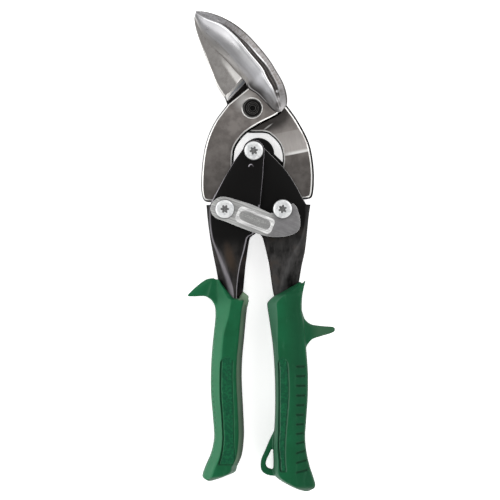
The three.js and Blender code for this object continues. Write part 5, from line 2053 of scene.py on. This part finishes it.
def left_grip() -> Grip:
    """The left grip with its hooked guard.

    Returns:
        The grip.
    """
    return Grip(
        name="grip_left",
        node="left_grip",
        body=Body.LEFT_HANDLE,
        left=[(-17.1, -83.9), (-17.4, -90), (-17.9, -98.4), (-17.9, -102.8), (-18.8, -111.1), (-19.7, -120.9),
              (-20.1, -130.7), (-20, -140.5), (-19.2, -150.3), (-18.5, -159.2), (-18.6, -162.6), (-20, -169),
              (-22.9, -175.8), (-24, -178.8), (-24.3, -180.2), (-23.8, -181.6), (-22, -182.6)],
        right=[(-15.6, -83.9), (-14.6, -85.7), (-12.2, -88.1), (-9.4, -90.9), (-6.2, -93.3), (-1.8, -93.9),
               (-1.6, -95), (-2.4, -98.9), (-3.8, -113.6), (-4.7, -123.4), (-4.9, -133.2), (-4.2, -147.9),
               (-3.8, -157.7), (-3.9, -162.6), (-4.9, -170.4), (-7.3, -176.2), (-8.2, -178.7), (-12, -180.4),
               (-15.6, -181.8), (-18.6, -182.6)],
        top=-83.9,
        low=-182.6,
        guard=trace(
            [(-19, -83.3), (-22.9, -84.2), (-27.8, -87.9), (-31.4, -91.4)],
            [(-31.4, -92.3)],
            [(-27.8, -92.3), (-23.4, -92.1), (-21.5, -92.8), (-19.5, -94.4), (-18.3, -96.6), (-17.6, -99)],
            [(-13, -99), (-13, -88)],
            [(-16.6, -84.4)],
        ),
        ridge_in=5.1,
        shell_in=2.9,
        mirrored=False,
        panel_left=[(5.1, -110), (4.9, -125), (4.7, -150), (4.6, -163), (6.2, -175)],
        panel_right=[(4.7, -110), (4.6, -133), (4.8, -150), (4.8, -163), (2.2, -175)],
        panel_top=-121.5,
        panel_low=-174.4,
        ridge_flare=2.5,
        flare_low=-112.0,
        flare_high=-94.0,
        rib_top=-103.0,
        rib_low=-172.0,
        rib_from=((-26.0, -104), (-26.0, -166)),
        rib_to=((-16.3, -103), (-18.2, -121), (-18.4, -135), (-17.0, -155), (-17.2, -163), (-19.4, -172)),
        rib_share=0.4,
        guard_front=5.3,
        guard_round=2.4,
        soft=((-16.0, -93.5, 5.5),),
        lug=((-5.4, -96.5), (-6.2, -92.5), (-4.3, -89.9), (-1.5, -92.2), (-2.1, -96.5)),
        lug_front=5.0,
        ribs=28,
        flange_in=2.7,
        finish=GripVinyl("green_vinyl_left", lug=(0.24, 0.34, 0.23)),
    )


def right_grip() -> Grip:
    """The right grip with its pointed guard, ribs and hanging loop.

    Returns:
        The grip.
    """
    return Grip(
        name="grip_right",
        node="right_grip",
        body=Body.RIGHT_HANDLE,
        left=[(23.1, -85.2), (21.4, -86.4), (18.7, -87.9), (15.3, -89.8), (12.4, -91.2), (10.2, -92.6),
              (7.7, -95.2), (7.5, -96.6), (8.9, -106.2), (10.2, -116), (11, -125.8), (11.4, -135.6),
              (11.4, -147.9), (11, -157.7), (10.4, -165), (10.6, -172.4), (11, -179.4), (13.8, -182.2),
              (18.7, -185), (23.4, -187.2), (26, -187.7)],
        right=[(24.0, -85.2), (24.8, -86.4), (24.9, -90.1), (24.5, -94), (24.5, -99.4), (25.2, -103),
               (25.8, -108), (26.3, -113), (26.6, -117.5), (27.4, -128.3), (27.5, -135.6), (27.3, -143),
               (26.6, -152.8), (26.1, -161.1), (26.8, -168.5), (28.5, -175.8), (30.5, -181.9),
               (31.1, -184.4), (30.4, -186.4), (28.3, -187.7)],
        top=-85.2,
        low=-187.7,
        lug=((26.4, -84.2), (24.9, -85.9), (23.9, -90), (24.9, -90.6), (25.5, -87.6)),
        lug_front=8.5,
        soft=((27.0, -109.0, 5.0),),
        guard=trace(
            [(24.6, -99.4), (26, -103.4), (29, -105.9), (33.4, -106.7), (40, -107.2)],
            [(40.8, -108)],
            [(40.6, -109.3), (38.4, -110.4), (34.2, -111.6), (29.7, -113.1), (27.2, -115.8), (26.4, -118)],
            [(21, -118), (20, -100)],
        ),
        ridge_in=2.0,
        shell_in=3.4,
        mirrored=True,
        panel_left=[(2.2, -110), (2.1, -125), (2.0, -150), (2.6, -165), (3.4, -178)],
        panel_right=[(9.3, -110), (9.8, -125), (9.5, -140), (9.6, -155), (9.9, -163), (12.4, -178)],
        panel_top=-122.0,
        panel_low=-177.8,
        ridge_flare=2.4,
        flare_low=-120.0,
        flare_high=-96.0,
        loop=True,
        finish=GripVinyl("green_vinyl_right", shade=(18.0, -120.0), facet=(0.055, 0.155, 0.095), fade=-91.0),
    )


# ---- Studio --------------------------------------------------------------------------------------


@dataclass
class Studio:
    """Pale floor, soft lights and the camera above the snips."""

    view_mm: float = 245.0
    centre: Point3 = (-0.9, -69.5, 4.0)
    distance: float = 1.9
    floor_size: float = 6.0
    sky: tuple[Point2, Point2] = ((0.15, 0.42), (0.9, 0.62))
    sensor: float = 36.0
    grey: Colour = (0.92, 0.92, 0.92)
    drop: float = 0.0002
    lamps: tuple[tuple[str, Point3, Point2, float], ...] = (
        ("left_softbox", (-1.4, 0.3, 0.8), (1.2, 2.0), 19),
        ("right_softbox", (1.1, 0.9, 1.0), (1.4, 1.6), 16),
        ("near_softbox", (0.5, -1.6, 0.9), (1.8, 1.0), 12),
    )

    def floor(self) -> None:
        """Builds the floor."""
        bm = bmesh.new()
        bmesh.ops.create_grid(bm, x_segments=1, y_segments=1, size=self.floor_size / 2)
        data = bpy.data.meshes.new("floor")
        bm.to_mesh(data)
        bm.free()
        glow = {"Emission_Color": (1, 1, 1, 1), "Emission_Strength": 0.6}
        data.materials.append(Recipe("pale_floor").finish(self.grey, 0.9, **glow))
        made = link("floor", data)
        made.location.z = -self.drop

    def camera(self) -> None:
        """Sets the camera square above the object."""
        data = bpy.data.cameras.new("camera")
        data.sensor_width = data.sensor_height = self.sensor
        data.lens = self.sensor * self.distance / (self.view_mm * MM)
        made = link("camera", data)
        made.location = (Vector(self.centre) + SHIFT) * MM + Vector((0, 0, self.distance))
        bpy.context.scene.camera = made

    def light(self, name: str, place: Point3, size: Point2, power: float) -> None:
        """Adds a soft rectangular light that looks at the object.

        Args:
            name: Name of the light.
            place: Where it hangs, in metres.
            size: Its width and height in metres.
            power: Its power in watts.
        """
        data = bpy.data.lights.new(name, "AREA")
        data.shape = "RECTANGLE"
        data.size, data.size_y = size
        data.energy = power
        made = link(name, data)
        made.location = place
        made.rotation_euler = (-Vector(place)).to_track_quat("-Z", "Y").to_euler()

    def world(self) -> None:
        """Surrounds the scene with a soft grey sky, paler towards the top."""
        world = bpy.data.worlds.new("studio")
        bpy.context.scene.world = world
        world.use_nodes = True
        nodes = Nodes(world.node_tree)
        upwards = nodes.node("ShaderNodeTexCoord", {}, {}).outputs["Generated"]
        height = nodes.node("ShaderNodeSeparateXYZ", {}, {0: upwards}).outputs["Z"]
        ramp = nodes.node("ShaderNodeValToRGB", {}, {0: height})
        for element, (spot, grey) in zip(ramp.color_ramp.elements, self.sky):
            element.position = spot
            element.color = (grey, grey, grey, 1)
        background = world.node_tree.nodes["Background"]
        nodes.feed(background.inputs["Color"], ramp.outputs[0])
        nodes.feed(background.inputs["Strength"], 1.0)

    def build(self) -> None:
        """Builds the whole studio."""
        self.floor()
        self.camera()
        for lamp in self.lamps:
            self.light(*lamp)
        self.world()
        bpy.context.scene.view_settings.view_transform = "Standard"


def main() -> None:
    """Builds the studio and every piece."""
    logging.basicConfig(level=logging.INFO, format="%(name)s: %(message)s")
    blades_and_levers = FrontBlade(), BackBlade(), left_lever(), right_lever()
    fittings = *lever_bolts(), CentreParts(), Latch()
    for part in (Studio(), *blades_and_levers, *fittings, left_grip(), right_grip()):
        part.build()


if __name__ == "__main__":
    main()
